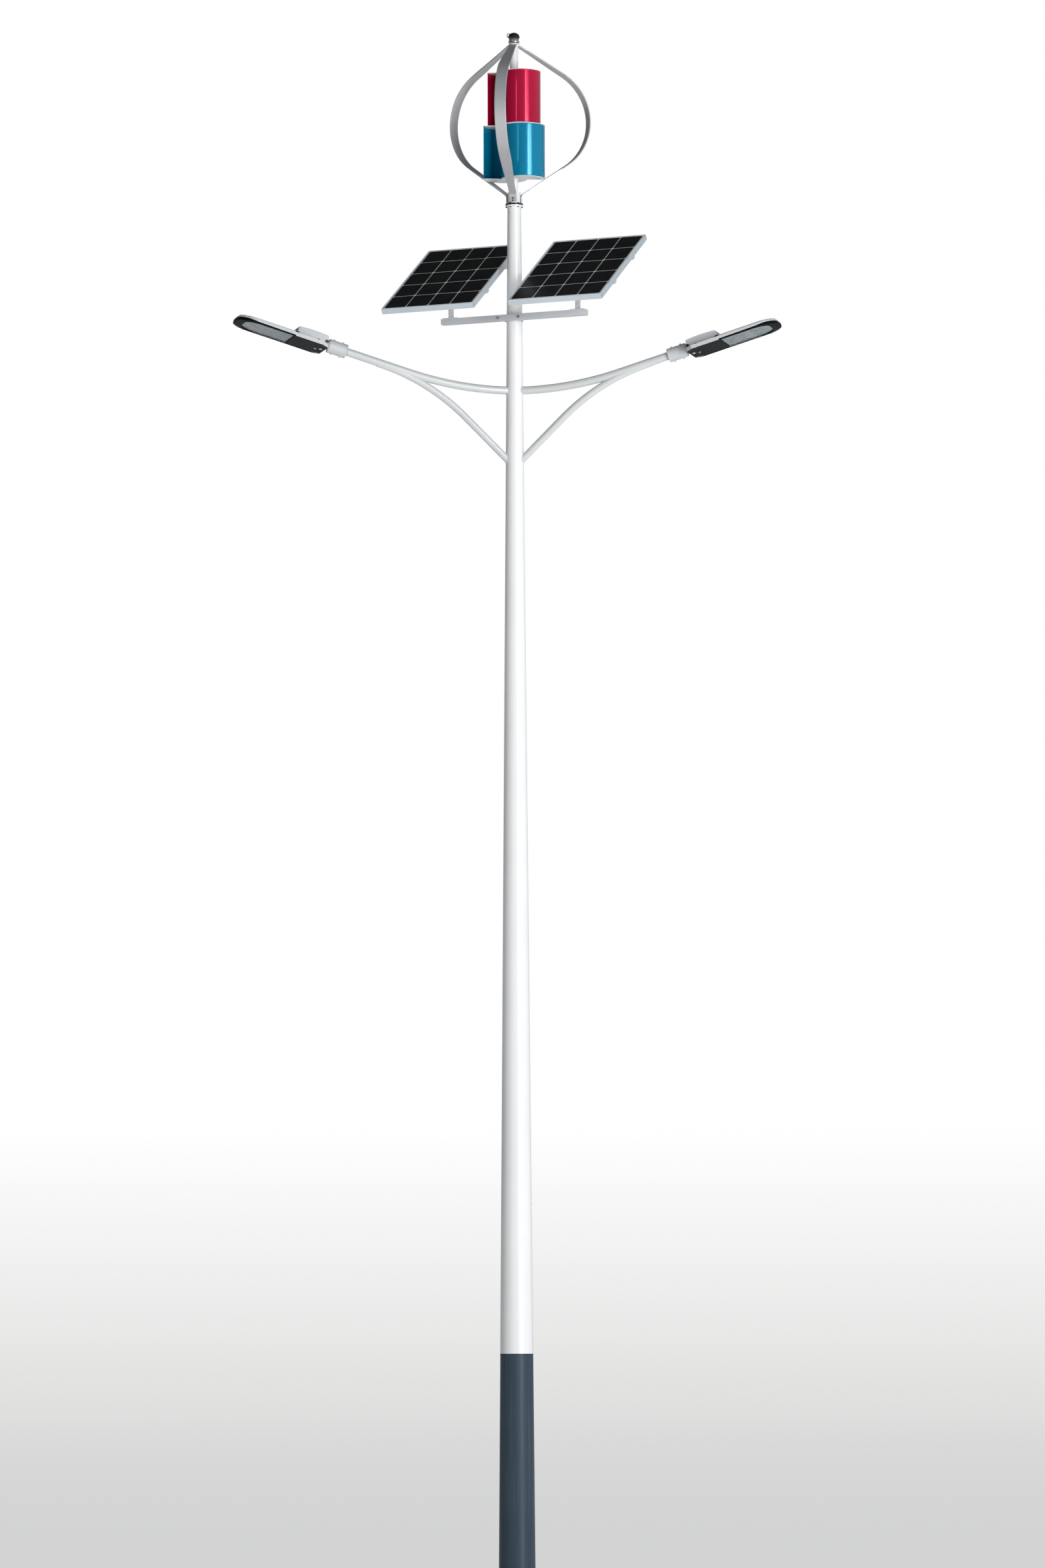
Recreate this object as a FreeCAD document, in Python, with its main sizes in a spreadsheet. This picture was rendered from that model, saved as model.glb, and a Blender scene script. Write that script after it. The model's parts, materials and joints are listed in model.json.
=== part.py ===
import FreeCAD, Part
import math
import os
import PartDesign
import Sketcher
from FreeCAD import Placement, Rotation, Vector

# Solar street lamp: tapered round pole, two curved arms with tilting lamp heads, a swivelling
# crossbar with two tilting solar panels, and a wind turbine on top.
# Millimetres. +X right, +Y to the back, +Z up, origin under the centre of the base plate.

UP = Vector(0, 0, 1)
ALONG = Vector(1, 0, 0)
ACROSS = Vector(0, 1, 0)

# ---------------------------------------------------------------- driving dimensions
SIZES = [
    # pole
    ("plate_side", 400, "base plate, side"),
    ("plate_thick", 20, "base plate, thickness"),
    ("plate_corner", 24, "base plate, corner radius"),
    ("anchor_spacing", 300, "anchor holes, hole to hole"),
    ("anchor_hole", 13.5, "anchor holes, radius"),
    ("cable_hole", 40, "cable hole in the base plate, radius"),
    ("foot_dia", 222, "pole, outer diameter at the ground line"),
    ("head_dia", 82, "pole, outer diameter at its top"),
    ("pole_top", 8420, "pole, height of its top"),
    ("pole_wall", 4, "pole, wall thickness"),
    ("section_top", 1516, "base section, height of its top"),
    ("spigot_reach", 150, "inner spigot, reach above and below the joint"),
    ("spigot_play", 0.2, "inner spigot, radial clearance"),
    ("gusset_high", 130, "gussets, height"),
    ("gusset_out", 182, "gussets, outer end from the axis"),
    ("gusset_thick", 10, "gussets, thickness"),
    ("flange_dia", 106, "top flanges, diameter"),
    ("flange_thick", 10, "top flanges, thickness of each"),
    ("flange_pitch", 47, "flange bolts, pitch radius"),
    ("flange_bolt", 3, "flange bolts, thread radius"),
    ("flange_bolts", 6, "flange bolts, count"),
    # door and equipment
    ("door_low", 500, "door opening, lower edge"),
    ("door_high", 400, "door opening, height"),
    ("door_wide", 110, "door opening, width"),
    ("door_lap", 10, "door, lap over the edge of its opening"),
    ("door_thick", 3, "door, thickness"),
    ("seat_gap", 0.5, "door, gap to the pole"),
    ("door_pin", 2.5, "door hinge, pin radius"),
    ("knuckle", 5, "door hinge, knuckle radius"),
    ("knuckle_long", 40, "door hinge, knuckle length"),
    ("knuckle_gap", 0.4, "door hinge, gap between knuckles"),
    ("hinge_out", 12, "door hinge, axis beyond the door's edge"),
    ("hinge_lift", 2, "door hinge, knuckles above the pole's surface"),
    ("lock_turn", 12, "door lock, angle from the middle of the door, degrees"),
    ("lock_stem", 6, "door lock, radius"),
    ("lock_long", 24, "door lock, length"),
    ("lock_proud", 10, "door lock, end outside the pole"),
    ("lock_cam", 24, "door lock, length of its cam"),
    ("run_gap", 0.05, "running clearance, radial"),
    ("rail_back", 62, "equipment rail, distance of its back from the axis"),
    ("rail_thick", 4, "equipment rail, thickness"),
    ("rail_low", 300, "equipment rail, lower end"),
    ("rail_high", 800, "equipment rail, length"),
    ("pack_wide", 110, "battery pack, width"),
    ("pack_deep", 62, "battery pack, depth"),
    ("pack_high", 300, "battery pack, height"),
    ("charger_wide", 90, "charge controller, width"),
    ("charger_deep", 40, "charge controller, depth"),
    ("charger_high", 150, "charge controller, height"),
    ("pack_lift", 20, "battery pack, height above the rail's foot"),
    ("charger_lift", 60, "charge controller, height above the rail's foot and the pack's height"),
    ("cable_dia", 10, "cable bundle, diameter"),
    ("cable_front", 25, "cable bundle, distance of its centre in front of the pole's axis"),
    # arms
    ("arm_yaw", 14, "arms, swing towards the front, degrees"),
    ("arm_tube", 48, "arm tube, diameter"),
    ("arm_wall", 3, "arm tube, wall"),
    ("arm_drop", 1118, "arm tube, depth below the pole's top at the pole"),
    ("arm_bite", 10, "arm tube, start inside the pole's surface"),
    ("arm_bend", 2120, "arm tube, radius of its bend"),
    ("arm_rise", 16.5, "arm tube, slope at the lamp, degrees"),
    ("right_arm_end", 315, "right arm tube, straight length to the sleeve"),
    ("left_arm_end", 406, "left arm tube, straight length to the sleeve"),
    ("arm_grip", 95, "arm tube, length inside the sleeve"),
    ("brace_tube", 42, "brace tube, diameter"),
    ("brace_drop", 412, "brace tube, depth below the arm tube at the pole"),
    ("brace_bite", 20, "brace tube, start inside the pole's surface and below its root"),
    ("brace_tail", 60, "brace tube, straight end inside the arm"),
    ("cope_half", 600, "arm and brace copes, reach above and below their middle"),
    ("brace_steep", 44, "brace tube, slope at the pole, degrees"),
    ("brace_flat", 18, "brace tube, slope at the arm, degrees"),
    ("brace_straight", 344, "brace tube, straight length"),
    ("brace_bend", 1270, "brace tube, radius of its bend"),
    # lamp heads
    ("sleeve_dia", 83, "spigot sleeve, diameter"),
    ("sleeve_long", 114, "spigot sleeve, length"),
    ("tongue_half", 30, "tilt tongue, half width"),
    ("tongue_round", 20, "tilt tongue, end radius"),
    ("pivot_at", 143, "tilt pivot, distance from the sleeve mouth"),
    ("pivot_bolt", 6, "tilt pivot, bolt radius"),
    ("pivot_head", 11, "tilt pivot, bolt head radius"),
    ("pivot_head_high", 7, "tilt pivot, bolt head height"),
    ("pocket_play", 7, "tilt pocket, room above the tongue"),
    ("head_start", 131, "lamp head, start from the sleeve mouth"),
    ("head_long", 565, "lamp head, length"),
    ("head_wide", 320, "lamp head, width"),
    ("head_low", 38, "lamp head, underside below the arm axis"),
    ("rim_thick", 22, "lamp head, thickness at its rim"),
    ("head_corner", 112, "lamp head, radius of its nose corners"),
    ("rear_bevel", 40, "lamp head, bevel of its rear corners"),
    ("fin_high", 10, "cooling fins, height"),
    ("fin_thick", 3, "cooling fins, thickness"),
    ("fin_count", 17, "cooling fins, count"),
    ("fin_edge", 20, "cooling fins, outer fin's middle from the head's side"),
    ("fin_inset", 6, "cooling fins, distance inside the head's outline"),
    ("gear_long", 211, "gear compartment, length with its cover"),
    ("gear_wide", 200, "driver box, width"),
    ("gear_top", 42, "driver box, top above the arm axis"),
    ("gear_wall", 4, "driver box, wall"),
    ("gear_lip", 4, "driver box, its end short of the gear cover's"),
    ("bay_end", 9, "gear bay, its end short of the gear cover's"),
    ("driver_long", 130, "LED driver, length"),
    ("driver_wide", 70, "LED driver, width"),
    ("driver_high", 32, "LED driver, height"),
    ("driver_gap", 13, "LED driver, distance from the gear bay's start"),
    ("cover_wide", 296, "gear cover, width"),
    ("cover_thick", 3, "gear cover, thickness"),
    ("cover_play", 0.5, "gear cover, gap to its recess"),
    ("cover_pin", 1.5, "gear cover, hinge pin radius"),
    ("pin_bite", 4, "gear cover, length of its hinge pins in the head"),
    ("latch_head", 9, "cover latch, head radius"),
    ("latch_stem", 4, "cover latch, stem radius"),
    ("lens_gap", 5, "lens, distance from the gear cover"),
    ("lens_long", 314, "lens, length"),
    ("lens_wide", 284, "lens, width"),
    ("lens_thick", 5, "lens, thickness"),
    ("lens_deep", 15, "lens pocket, depth"),
    ("lens_sunk", 1, "lens, depth below the head's underside"),
    ("lens_play", 0.5, "lens, gap to its pocket"),
    ("skirt_wall", 3.5, "lens skirt, wall"),
    ("board_inset", 10, "LED board, distance inside the pocket's outline"),
    ("board_thick", 2, "LED board, thickness"),
    # panel assembly
    ("bar_yaw", 24, "crossbar, swing of its right end to the front, degrees"),
    ("bar_shift", 30, "crossbar and posts, shift to the right of the collar"),
    ("bar_long", 950, "crossbar, length"),
    ("bar_high", 32, "crossbar, height"),
    ("bar_deep", 40, "crossbar, depth"),
    ("bar_drop", 683, "crossbar, depth of its centre below the pole's top"),
    ("bar_front", 72, "crossbar, distance of its centre from the pole axis"),
    ("bar_wall", 2.5, "crossbar, wall"),
    ("strap_thick", 5, "collar strap, thickness"),
    ("collar_gap", 0.3, "collar, gap to the pole"),
    ("ear_reach", 30, "collar strap, width of each ear"),
    ("clamp_bolt", 5, "collar bolts, radius"),
    ("panel_at", 418, "panels, distance of their centres along the crossbar"),
    ("panel_wide", 606, "panels, width"),
    ("panel_long", 828, "panels, length up the slope"),
    ("panel_tilt", 33.7, "panels, tilt in degrees"),
    ("frame_high", 35, "panel frame, height"),
    ("frame_lip", 12, "panel frame, width of its face"),
    ("glass_thick", 4.5, "panel laminate, thickness"),
    ("glass_sunk", 2, "panel laminate, depth below the frame's face"),
    ("face_rise", 75, "panel face above its pivot"),
    ("face_shift", 120, "panel centre up the slope from its pivot"),
    ("post_high", 143, "panel posts, height from the crossbar to the pivots"),
    ("shoe_long", 90, "post shoes, length along the crossbar"),
    ("shoe_thick", 6, "post shoes, thickness"),
    ("post_side", 25, "panel posts, side"),
    ("lug_thick", 16, "panel lugs, thickness"),
    ("lug_round", 12, "panel lugs and post heads, end radius"),
    ("panel_pin", 5, "panel pivots, pin radius"),
    ("lug_play", 0.3, "panel lugs, side clearance"),
    ("rail_wide", 30, "panel rails, width"),
    ("rail_deep", 12, "panel rails, depth"),
    ("rail_offset", 170, "panel rails, distance from the panel centre"),
    ("jbox_wide", 110, "junction box, width"),
    ("jbox_long", 90, "junction box, length"),
    ("jbox_high", 22, "junction box, height"),
    ("jbox_shift", 230, "junction box, distance up the slope"),
    # wind turbine
    ("hub_dia", 76, "rotor hub, diameter"),
    ("hub_high", 68, "rotor hub, height"),
    ("hub_gap", 2, "rotor hub, gap above the flange"),
    ("hub_wall", 5, "rotor hub, wall"),
    ("hub_floor", 16, "rotor hub, floor thickness"),
    ("axle_dia", 20, "generator axle, diameter"),
    ("stator_dia", 52, "generator stator, diameter"),
    ("magnet_thick", 6, "generator magnets, ring thickness"),
    ("mast_dia", 50, "rotor shaft, diameter"),
    ("mast_neck", 40, "rotor shaft, diameter at the hub"),
    ("mast_bore", 32, "rotor shaft, bore"),
    ("mast_rise", 155, "rotor shaft, height above the upper stage"),
    ("mast_seat", 4, "rotor shaft, its lower end above the hub's ceiling"),
    ("bearing_high", 12, "rotor bearings, height"),
    ("blade_count", 3, "bowed blades, count"),
    ("blade_turn", 20, "bowed blades, direction of the first one, degrees"),
    ("blade_wide", 70, "bowed blades, width"),
    ("blade_foot", 43, "bowed blades, width of their ends"),
    ("blade_thick", 8, "bowed blades, thickness"),
    ("blade_out", 484, "bowed blades, reach from the axis"),
    ("blade_drop", 29.5, "bowed blades, slope of the upper straight, degrees"),
    ("blade_climb", 34.6, "bowed blades, slope of the lower straight, degrees"),
    ("foot_bend", 30, "bowed blades, radius above the foot"),
    ("foot_high", 34, "bowed blades, height of the bend above the hub's underside"),
    ("stage_split", 7, "stages, gap between them"),
    ("red_high", 323, "upper stage, height"),
    ("red_round", 118, "upper buckets, radius"),
    ("red_shift", 42, "upper buckets, offset from the axis"),
    ("red_turn", -6, "upper stage, turn in degrees"),
    ("blue_lift", 84, "lower stage, height of its foot above the rotor hub"),
    ("blue_high", 321, "lower stage, height"),
    ("blue_round", 131, "lower buckets, radius"),
    ("blue_shift", 54, "lower buckets, offset from the axis"),
    ("blue_turn", 4, "lower stage, turn in degrees"),
    ("bucket_thick", 2, "buckets, thickness"),
    ("stage_thick", 3, "stage plates, thickness"),
    ("stage_rim", 2, "stage plates, rim beyond the buckets"),
    ("stage_hub", 62, "stage plates, radius of their middle"),
    ("cap_seat_dia", 60, "top hub, diameter"),
    ("cap_seat_high", 17, "top hub, thickness"),
    ("cap_neck_dia", 23, "top hub, neck diameter"),
    ("cap_neck_high", 5, "top hub, neck height"),
    ("cap_across", 62, "hexagonal cap, size across its flats"),
    ("cap_high", 64, "hexagonal cap, height"),
    ("bolt_head", 5, "small bolt heads, radius"),
    ("head_high", 4, "small bolt heads, height"),
]


class Size:
    """A number together with the sheet expression that gives it."""

    def __init__(self, value, text):
        self.value = float(value)
        self.text = text

    def joined(self, other, sign, value):
        return Size(value, f"({self.text} {sign} {as_size(other).text})")

    def __add__(self, other):
        return self.joined(other, "+", self.value + float(other))

    def __sub__(self, other):
        return self.joined(other, "-", self.value - float(other))

    def __mul__(self, other):
        return self.joined(other, "*", self.value * float(other))

    def __truediv__(self, other):
        return self.joined(other, "/", self.value / float(other))

    def __radd__(self, other):
        return as_size(other) + self

    def __rsub__(self, other):
        return as_size(other) - self

    def __rmul__(self, other):
        return as_size(other) * self

    def __neg__(self):
        return 0 - self

    def __float__(self):
        return self.value


def as_size(value):
    return value if isinstance(value, Size) else Size(value, repr(float(value)))


class Sizes:
    """The sheet's cells by name, each as a Size."""

    def __init__(self, document):
        sheet = document.addObject("Spreadsheet::Sheet", "sizes")
        for row, (alias, value, note) in enumerate(SIZES, start=1):
            sheet.set(f"A{row}", note)
            sheet.set(f"B{row}", str(value))
            sheet.setAlias(f"B{row}", alias)
        document.recompute()
        for alias, _, _ in SIZES:
            setattr(self, alias, Size(sheet.get(alias), f"sizes.{alias}"))


doc = FreeCAD.newDocument("solar_street_lamp")
s = Sizes(doc)
nodes = []


# ---------------------------------------------------------------- small helpers
def bind(item, prop, size):
    size = as_size(size)
    item.setExpression(prop, size.text)


def numbered(name):
    """A free internal name for a construction object."""
    return f"{name}_{len(doc.Objects)}"


def turn(degrees, axis=UP):
    return Rotation(axis, float(degrees))


def at(x=0, y=0, z=0, rotation=Rotation()):
    return Placement(Vector(float(x), float(y), float(z)), rotation)


def move(item, x=0, y=0, z=0, rotation=Rotation()):
    """Puts an item at a place that follows the sheet."""
    item.Placement = at(x, y, z, rotation)
    for axis, size in zip("xyz", (x, y, z)):
        bind(item, f"Placement.Base.{axis}", size)
    return item


def reframe(item, frame):
    """Puts an item, as it stands, in another frame, which the source works out from the sheet."""
    bound = [path for path, _ in item.ExpressionEngine if "Placement" in path]
    for path in bound:
        item.setExpression(path, None)
    item.Placement = frame * item.Placement
    return item


def box(length, width, height, x=0, y=0, z=0):
    """A box standing on (x, y, z), which is the middle of its lower face."""
    item = doc.addObject("Part::Box", numbered("box"))
    bind(item, "Length", length)
    bind(item, "Width", width)
    bind(item, "Height", height)
    return move(item, as_size(x) - as_size(length) / 2, as_size(y) - as_size(width) / 2, z)


def cylinder(radius, height, x=0, y=0, z=0, rotation=Rotation()):
    item = doc.addObject("Part::Cylinder", numbered("cylinder"))
    bind(item, "Radius", radius)
    bind(item, "Height", height)
    return move(item, x, y, z, rotation)


def cone(low_radius, high_radius, height, z=0):
    item = doc.addObject("Part::Cone", numbered("cone"))
    bind(item, "Radius1", low_radius)
    bind(item, "Radius2", high_radius)
    bind(item, "Height", height)
    return move(item, 0, 0, z)


def hexagon(radius, height, x=0, y=0, z=0, rotation=Rotation()):
    item = doc.addObject("Part::Prism", numbered("hexagon"))
    item.Polygon = 6
    bind(item, "Circumradius", radius)
    bind(item, "Height", height)
    return move(item, x, y, z, rotation)


def fuse(*items):
    if len(items) == 1:
        return items[0]
    item = doc.addObject("Part::MultiFuse", numbered("fuse"))
    item.Shapes = list(items)
    return item


def cut(base, *tools):
    item = doc.addObject("Part::Cut", numbered("cut"))
    item.Base = base
    item.Tool = fuse(*tools)
    return item


def common(*items):
    item = doc.addObject("Part::MultiCommon", numbered("common"))
    item.Shapes = list(items)
    return item


def group(*items):
    """Several separate solids as one shape."""
    item = doc.addObject("Part::Compound", numbered("group"))
    item.Links = list(items)
    return item


def solid(shape):
    """A shape made with Part's own functions, as an object of the document."""
    item = doc.addObject("Part::Feature", numbered("solid"))
    item.Shape = shape
    return item


def node(name, item, frame=None):
    """Names a finished sub-part and puts it in the object's frame."""
    if frame is not None:
        reframe(item, frame)
    item.Label = name
    nodes.append(item)
    return item


def new_body(name):
    return doc.addObject("PartDesign::Body", name + "_body")


def new_sketch(body, role="XY_Plane"):
    sketch = body.newObject("Sketcher::SketchObject", numbered("sketch"))
    plane = [item for item in body.Origin.OriginFeatures if item.Role == role][0]
    sketch.AttachmentSupport = (plane, [""])
    sketch.MapMode = "FlatFace"
    return sketch


def tie(sketch, geometry, point, x, y):
    """Ties a sketch point to the sheet, measured from the sketch's origin."""
    for kind, size in (("DistanceX", as_size(x)), ("DistanceY", as_size(y))):
        index = sketch.addConstraint(Sketcher.Constraint(kind, -1, 1, geometry, point, float(size)))
        sketch.setExpression(f"Constraints[{index}]", size.text)


def outline(sketch, points):
    """A closed outline with straight sides and every corner tied to the sheet."""
    first = sketch.GeometryCount
    count = len(points)
    for index, (x, y) in enumerate(points):
        next_x, next_y = points[(index + 1) % count]
        start = Vector(float(x), float(y), 0)
        end = Vector(float(next_x), float(next_y), 0)
        sketch.addGeometry(Part.LineSegment(start, end))
    for index, (x, y) in enumerate(points):
        following = first + (index + 1) % count
        sketch.addConstraint(Sketcher.Constraint("Coincident", first + index, 2, following, 1))
        tie(sketch, first + index, 1, x, y)
    return sketch


def rectangle(sketch, width, height, x=0, y=0):
    half_x = as_size(width) / 2
    half_y = as_size(height) / 2
    corners = [(x - half_x, y - half_y), (x + half_x, y - half_y),
               (x + half_x, y + half_y), (x - half_x, y + half_y)]
    return outline(sketch, corners)


def circle(sketch, radius, x=0, y=0):
    index = sketch.addGeometry(Part.Circle(Vector(float(x), float(y), 0), UP, float(radius)))
    tie(sketch, index, 3, x, y)
    number = sketch.addConstraint(Sketcher.Constraint("Radius", index, float(radius)))
    sketch.setExpression(f"Constraints[{number}]", as_size(radius).text)
    return sketch


def pad(body, sketch, length):
    item = body.newObject("PartDesign::Pad", numbered("pad"))
    item.Profile = sketch
    bind(item, "Length", length)
    return item


def pocket_through(body, sketch):
    item = body.newObject("PartDesign::Pocket", numbered("pocket"))
    item.Profile = sketch
    item.Type = "ThroughAll"
    item.SideType = "Symmetric"
    return item


def polar(body, feature, sketch, count):
    item = body.newObject("PartDesign::PolarPattern", numbered("pattern"))
    item.Originals = [feature]
    item.Axis = (sketch, ["N_Axis"])
    item.Angle = 360
    item.Occurrences = int(float(count))
    body.Tip = item
    return item


def revolved(name, points):
    """A body turned about the pole axis from (radius, height) corners."""
    body = new_body(name)
    sketch = outline(new_sketch(body, "XZ_Plane"), points)
    item = body.newObject("PartDesign::Revolution", numbered("turned"))
    item.Profile = sketch
    item.ReferenceAxis = (sketch, ["V_Axis"])
    item.Angle = 360
    return body


def pole_radius(height):
    """Outer radius of the tapered pole at a height."""
    return s.foot_dia / 2 - (s.foot_dia - s.head_dia) / 2 * height / s.pole_top


def pole_solid(extra, low, high):
    """The pole's outer cone between two heights, grown by a clearance."""
    return cone(pole_radius(low) + extra, pole_radius(high) + extra, high - low, low)


def arm_root():
    """Height of the arm tubes' centre lines at the pole."""
    return s.pole_top - s.arm_drop


def brace_root():
    return arm_root() - s.brace_drop


def bar_level():
    """Height of the crossbar's centre."""
    return s.pole_top - s.bar_drop


def pivot_level():
    """Height of the panels' pivots."""
    return bar_level() + s.bar_high / 2 + s.post_high


# ---------------------------------------------------------------- pole
def base_plate():
    body = new_body("base_plate")
    plate = pad(body, rectangle(new_sketch(body), s.plate_side, s.plate_side), s.plate_thick)
    doc.recompute()
    corners = [f"Edge{number}" for number, edge in enumerate(plate.Shape.Edges, start=1)
               if abs(edge.tangentAt(edge.FirstParameter).z) > 0.99]
    rounded = body.newObject("PartDesign::Fillet", "plate_corners")
    rounded.Base = (plate, corners)
    bind(rounded, "Radius", s.plate_corner)
    pocket_through(body, circle(new_sketch(body), s.cable_hole))
    half = s.anchor_spacing / 2
    hole = circle(new_sketch(body), s.anchor_hole, half, half)
    polar(body, pocket_through(body, hole), hole, 4)
    node("base_plate", body)


def base_gussets():
    length = s.gusset_out
    ribs = []
    for quarter in range(4):
        body = new_body(f"gusset_{quarter}")
        sketch = outline(new_sketch(body, "XZ_Plane"), [
            (s.cable_hole, s.plate_thick), (length, s.plate_thick),
            (length, s.plate_thick + s.gusset_thick),
            (pole_radius(s.plate_thick), s.plate_thick + s.gusset_high),
            (s.cable_hole, s.plate_thick + s.gusset_high)])
        rib = pad(body, sketch, s.gusset_thick)
        rib.SideType = "Symmetric"
        body.Placement = at(rotation=turn(90 * quarter))
        ribs.append(body)
    inside = pole_solid(0, s.plate_thick, s.plate_thick + s.gusset_high)
    node("base_gussets", cut(fuse(*ribs), inside))


def door_window(grow, depth):
    """A block through the back wall, the size of the door opening grown all round."""
    return box(s.door_wide + 2 * grow, depth, s.door_high + 2 * grow, 0, depth / 2, s.door_low - grow)


def hinge_frame():
    """Frame on the door's hinge axis: x points away from the pole, z up."""
    reach = float(pole_radius(s.door_low)) + float(s.knuckle) + float(s.hinge_lift)
    edge = float(s.door_wide) / 2 + float(s.door_lap) + float(s.hinge_out)
    angle = 180 - math.degrees(math.acos(edge / reach))
    return Placement(Rotation(UP, angle).multVec(Vector(reach, 0, 0)), Rotation(UP, angle))


def knuckle_heights(shift):
    """Where the knuckles start: the pole's stand just below the door's."""
    low = s.door_low + s.knuckle_long
    high = s.door_low + s.door_high - 3 * s.knuckle_long
    return [low + shift, high + shift]


def knuckles(shift):
    """Two hinge knuckles, each with a tab that points into the pole."""
    pieces = []
    reach = s.knuckle * 3
    for height in knuckle_heights(shift):
        pieces.append(cylinder(s.knuckle, s.knuckle_long - s.knuckle_gap, 0, 0, height))
        pieces.append(box(reach, s.knuckle, s.knuckle_long - s.knuckle_gap, -reach / 2, -s.knuckle / 2, height))
    return reframe(fuse(*pieces), hinge_frame())


def hinge_leaves():
    """Blocks that let the door's plate reach its own knuckles."""
    reach = s.hinge_out + s.door_lap
    deep = 6 * s.knuckle
    high = s.knuckle_long - s.knuckle_gap
    leaves = [box(deep, reach, high, -deep / 2, -reach / 2, height) for height in knuckle_heights(s.knuckle_long)]
    return reframe(fuse(*leaves), hinge_frame())


def hinge_bore():
    bore = cylinder(s.door_pin + s.run_gap, s.door_high, 0, 0, s.door_low)
    return reframe(bore, hinge_frame())


def pole_base_section():
    top = s.section_top
    low = s.plate_thick
    spigot = pole_radius(top + s.spigot_reach) - s.pole_wall - s.spigot_play
    tube = revolved("base_tube", [
        (pole_radius(low) - s.pole_wall, low), (pole_radius(low), low), (pole_radius(top), top),
        (spigot, top), (spigot, top + s.spigot_reach), (spigot - s.pole_wall, top + s.spigot_reach),
        (spigot - s.pole_wall, top - s.spigot_reach),
        (pole_radius(top - s.spigot_reach) - s.pole_wall, top - s.spigot_reach)])
    lugs = cut(knuckles(0), pole_solid(-s.pole_wall / 2, s.plate_thick, top))
    walled = cut(tube, door_window(0, s.foot_dia))
    node("pole_base_section", cut(fuse(walled, lugs), hinge_bore()))


def flange_spots():
    """Centres of the top flanges' bolts."""
    count = int(float(s.flange_bolts))
    angles = [math.radians(360 * number / count) for number in range(count)]
    return [(s.flange_pitch * math.cos(angle), s.flange_pitch * math.sin(angle)) for angle in angles]


def pole_shaft():
    low = s.section_top
    top = s.pole_top
    flange = s.flange_dia / 2
    body = revolved("pole_shaft", [
        (pole_radius(low) - s.pole_wall, low), (pole_radius(low), low), (pole_radius(top), top),
        (flange, top), (flange, top + s.flange_thick), (s.cable_dia, top + s.flange_thick),
        (s.cable_dia, top), (pole_radius(top) - s.pole_wall, top)])
    holes = [cylinder(s.flange_bolt, s.flange_thick, x, y, top) for x, y in flange_spots()]
    node("pole_shaft", cut(body, *holes))


def access_door():
    low = s.door_low - s.door_lap
    high = s.door_low + s.door_high + s.door_lap
    shell = cut(pole_solid(s.seat_gap + s.door_thick, low, high), pole_solid(s.seat_gap, low, high))
    plate = common(shell, fuse(door_window(s.door_lap, s.foot_dia), hinge_leaves()))
    outside = cut(knuckles(s.knuckle_long), pole_solid(s.seat_gap, s.plate_thick, s.section_top))
    hole = lock_stem(s.lock_stem + s.run_gap)
    node("access_door", cut(fuse(plate, outside), hinge_bore(), hole))


def lock_frame():
    """Frame on the lock's axis: x points out of the pole, y along the door."""
    angle = 90 - float(s.lock_turn)
    height = float(s.door_low) + float(s.door_high) / 2
    return Placement(Vector(0, 0, height), Rotation(UP, angle))


def lock_stem(radius):
    start = pole_radius(s.door_low) + s.lock_proud - s.lock_long
    return reframe(cylinder(radius, s.lock_long, start, 0, 0, turn(90, ACROSS)), lock_frame())


def door_lock():
    start = pole_radius(s.door_low) + s.lock_proud - s.lock_long
    cam = box(s.door_thick, s.lock_stem * 1.5, s.lock_cam, start + s.door_thick / 2, 0, -s.lock_cam / 2)
    node("door_lock", fuse(lock_stem(s.lock_stem), reframe(cam, lock_frame())))


def door_hinge_pin():
    low = knuckle_heights(0)[0]
    high = knuckle_heights(s.knuckle_long)[1] + s.knuckle_long
    pin = cylinder(s.door_pin, high - low, 0, 0, low)
    node("door_hinge_pin", pin, hinge_frame())


def equipment():
    """Rail across the pole's inside, with the battery pack and charge controller on it."""
    low = s.rail_low
    high = s.rail_low + s.rail_high
    strip = box(s.foot_dia, s.rail_thick, s.rail_high, 0, s.rail_thick / 2 - s.rail_back, low)
    node("equipment_rail", common(strip, pole_solid(-s.pole_wall - s.spigot_play, low, high)))
    face = s.rail_thick - s.rail_back
    body = new_body("battery_pack")
    pad(body, rectangle(new_sketch(body), s.pack_wide, s.pack_deep, 0, face + s.pack_deep / 2), s.pack_high)
    body.Placement = at(z=s.rail_low + s.pack_lift)
    node("battery_pack", body)
    charger_low = s.rail_low + s.pack_high + s.charger_lift
    charger = box(s.charger_wide, s.charger_deep, s.charger_high, 0, face + s.charger_deep / 2, charger_low)
    node("charge_controller", charger)
    top = charger_low + s.charger_high
    bundle = cylinder(s.cable_dia / 2, s.pole_top - s.cable_dia - top, 0, -s.cable_front, top)
    node("cable_harness", bundle)


# ---------------------------------------------------------------- arms
def arc_path(start, slope, steps):
    """A wire in the XZ plane: straight runs (length, None) and bends (radius, end slope)."""
    edges = []
    point = start
    angle = math.radians(slope)
    for length, end_slope in steps:
        if end_slope is None:
            end = point + Vector(math.cos(angle), 0, math.sin(angle)) * length
            edges.append(Part.LineSegment(point, end).toShape())
        else:
            end_angle = math.radians(end_slope)
            side = 1 if end_angle > angle else -1
            centre = point + Vector(-math.sin(angle), 0, math.cos(angle)) * length * side
            middle_angle = (angle + end_angle) / 2
            middle = centre + Vector(math.sin(middle_angle), 0, -math.cos(middle_angle)) * length * side
            end = centre + Vector(math.sin(end_angle), 0, -math.cos(end_angle)) * length * side
            edges.append(Part.Arc(point, middle, end).toShape())
            angle = end_angle
        point = end
    return Part.Wire(edges), point, math.degrees(angle)


def swept_rod(path, radius):
    start = path.Edges[0].firstVertex().Point
    direction = path.Edges[0].tangentAt(path.Edges[0].FirstParameter)
    ring = Part.Wire([Part.Circle(start, direction, radius).toShape()])
    return path.makePipeShell([ring], True, False)


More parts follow.
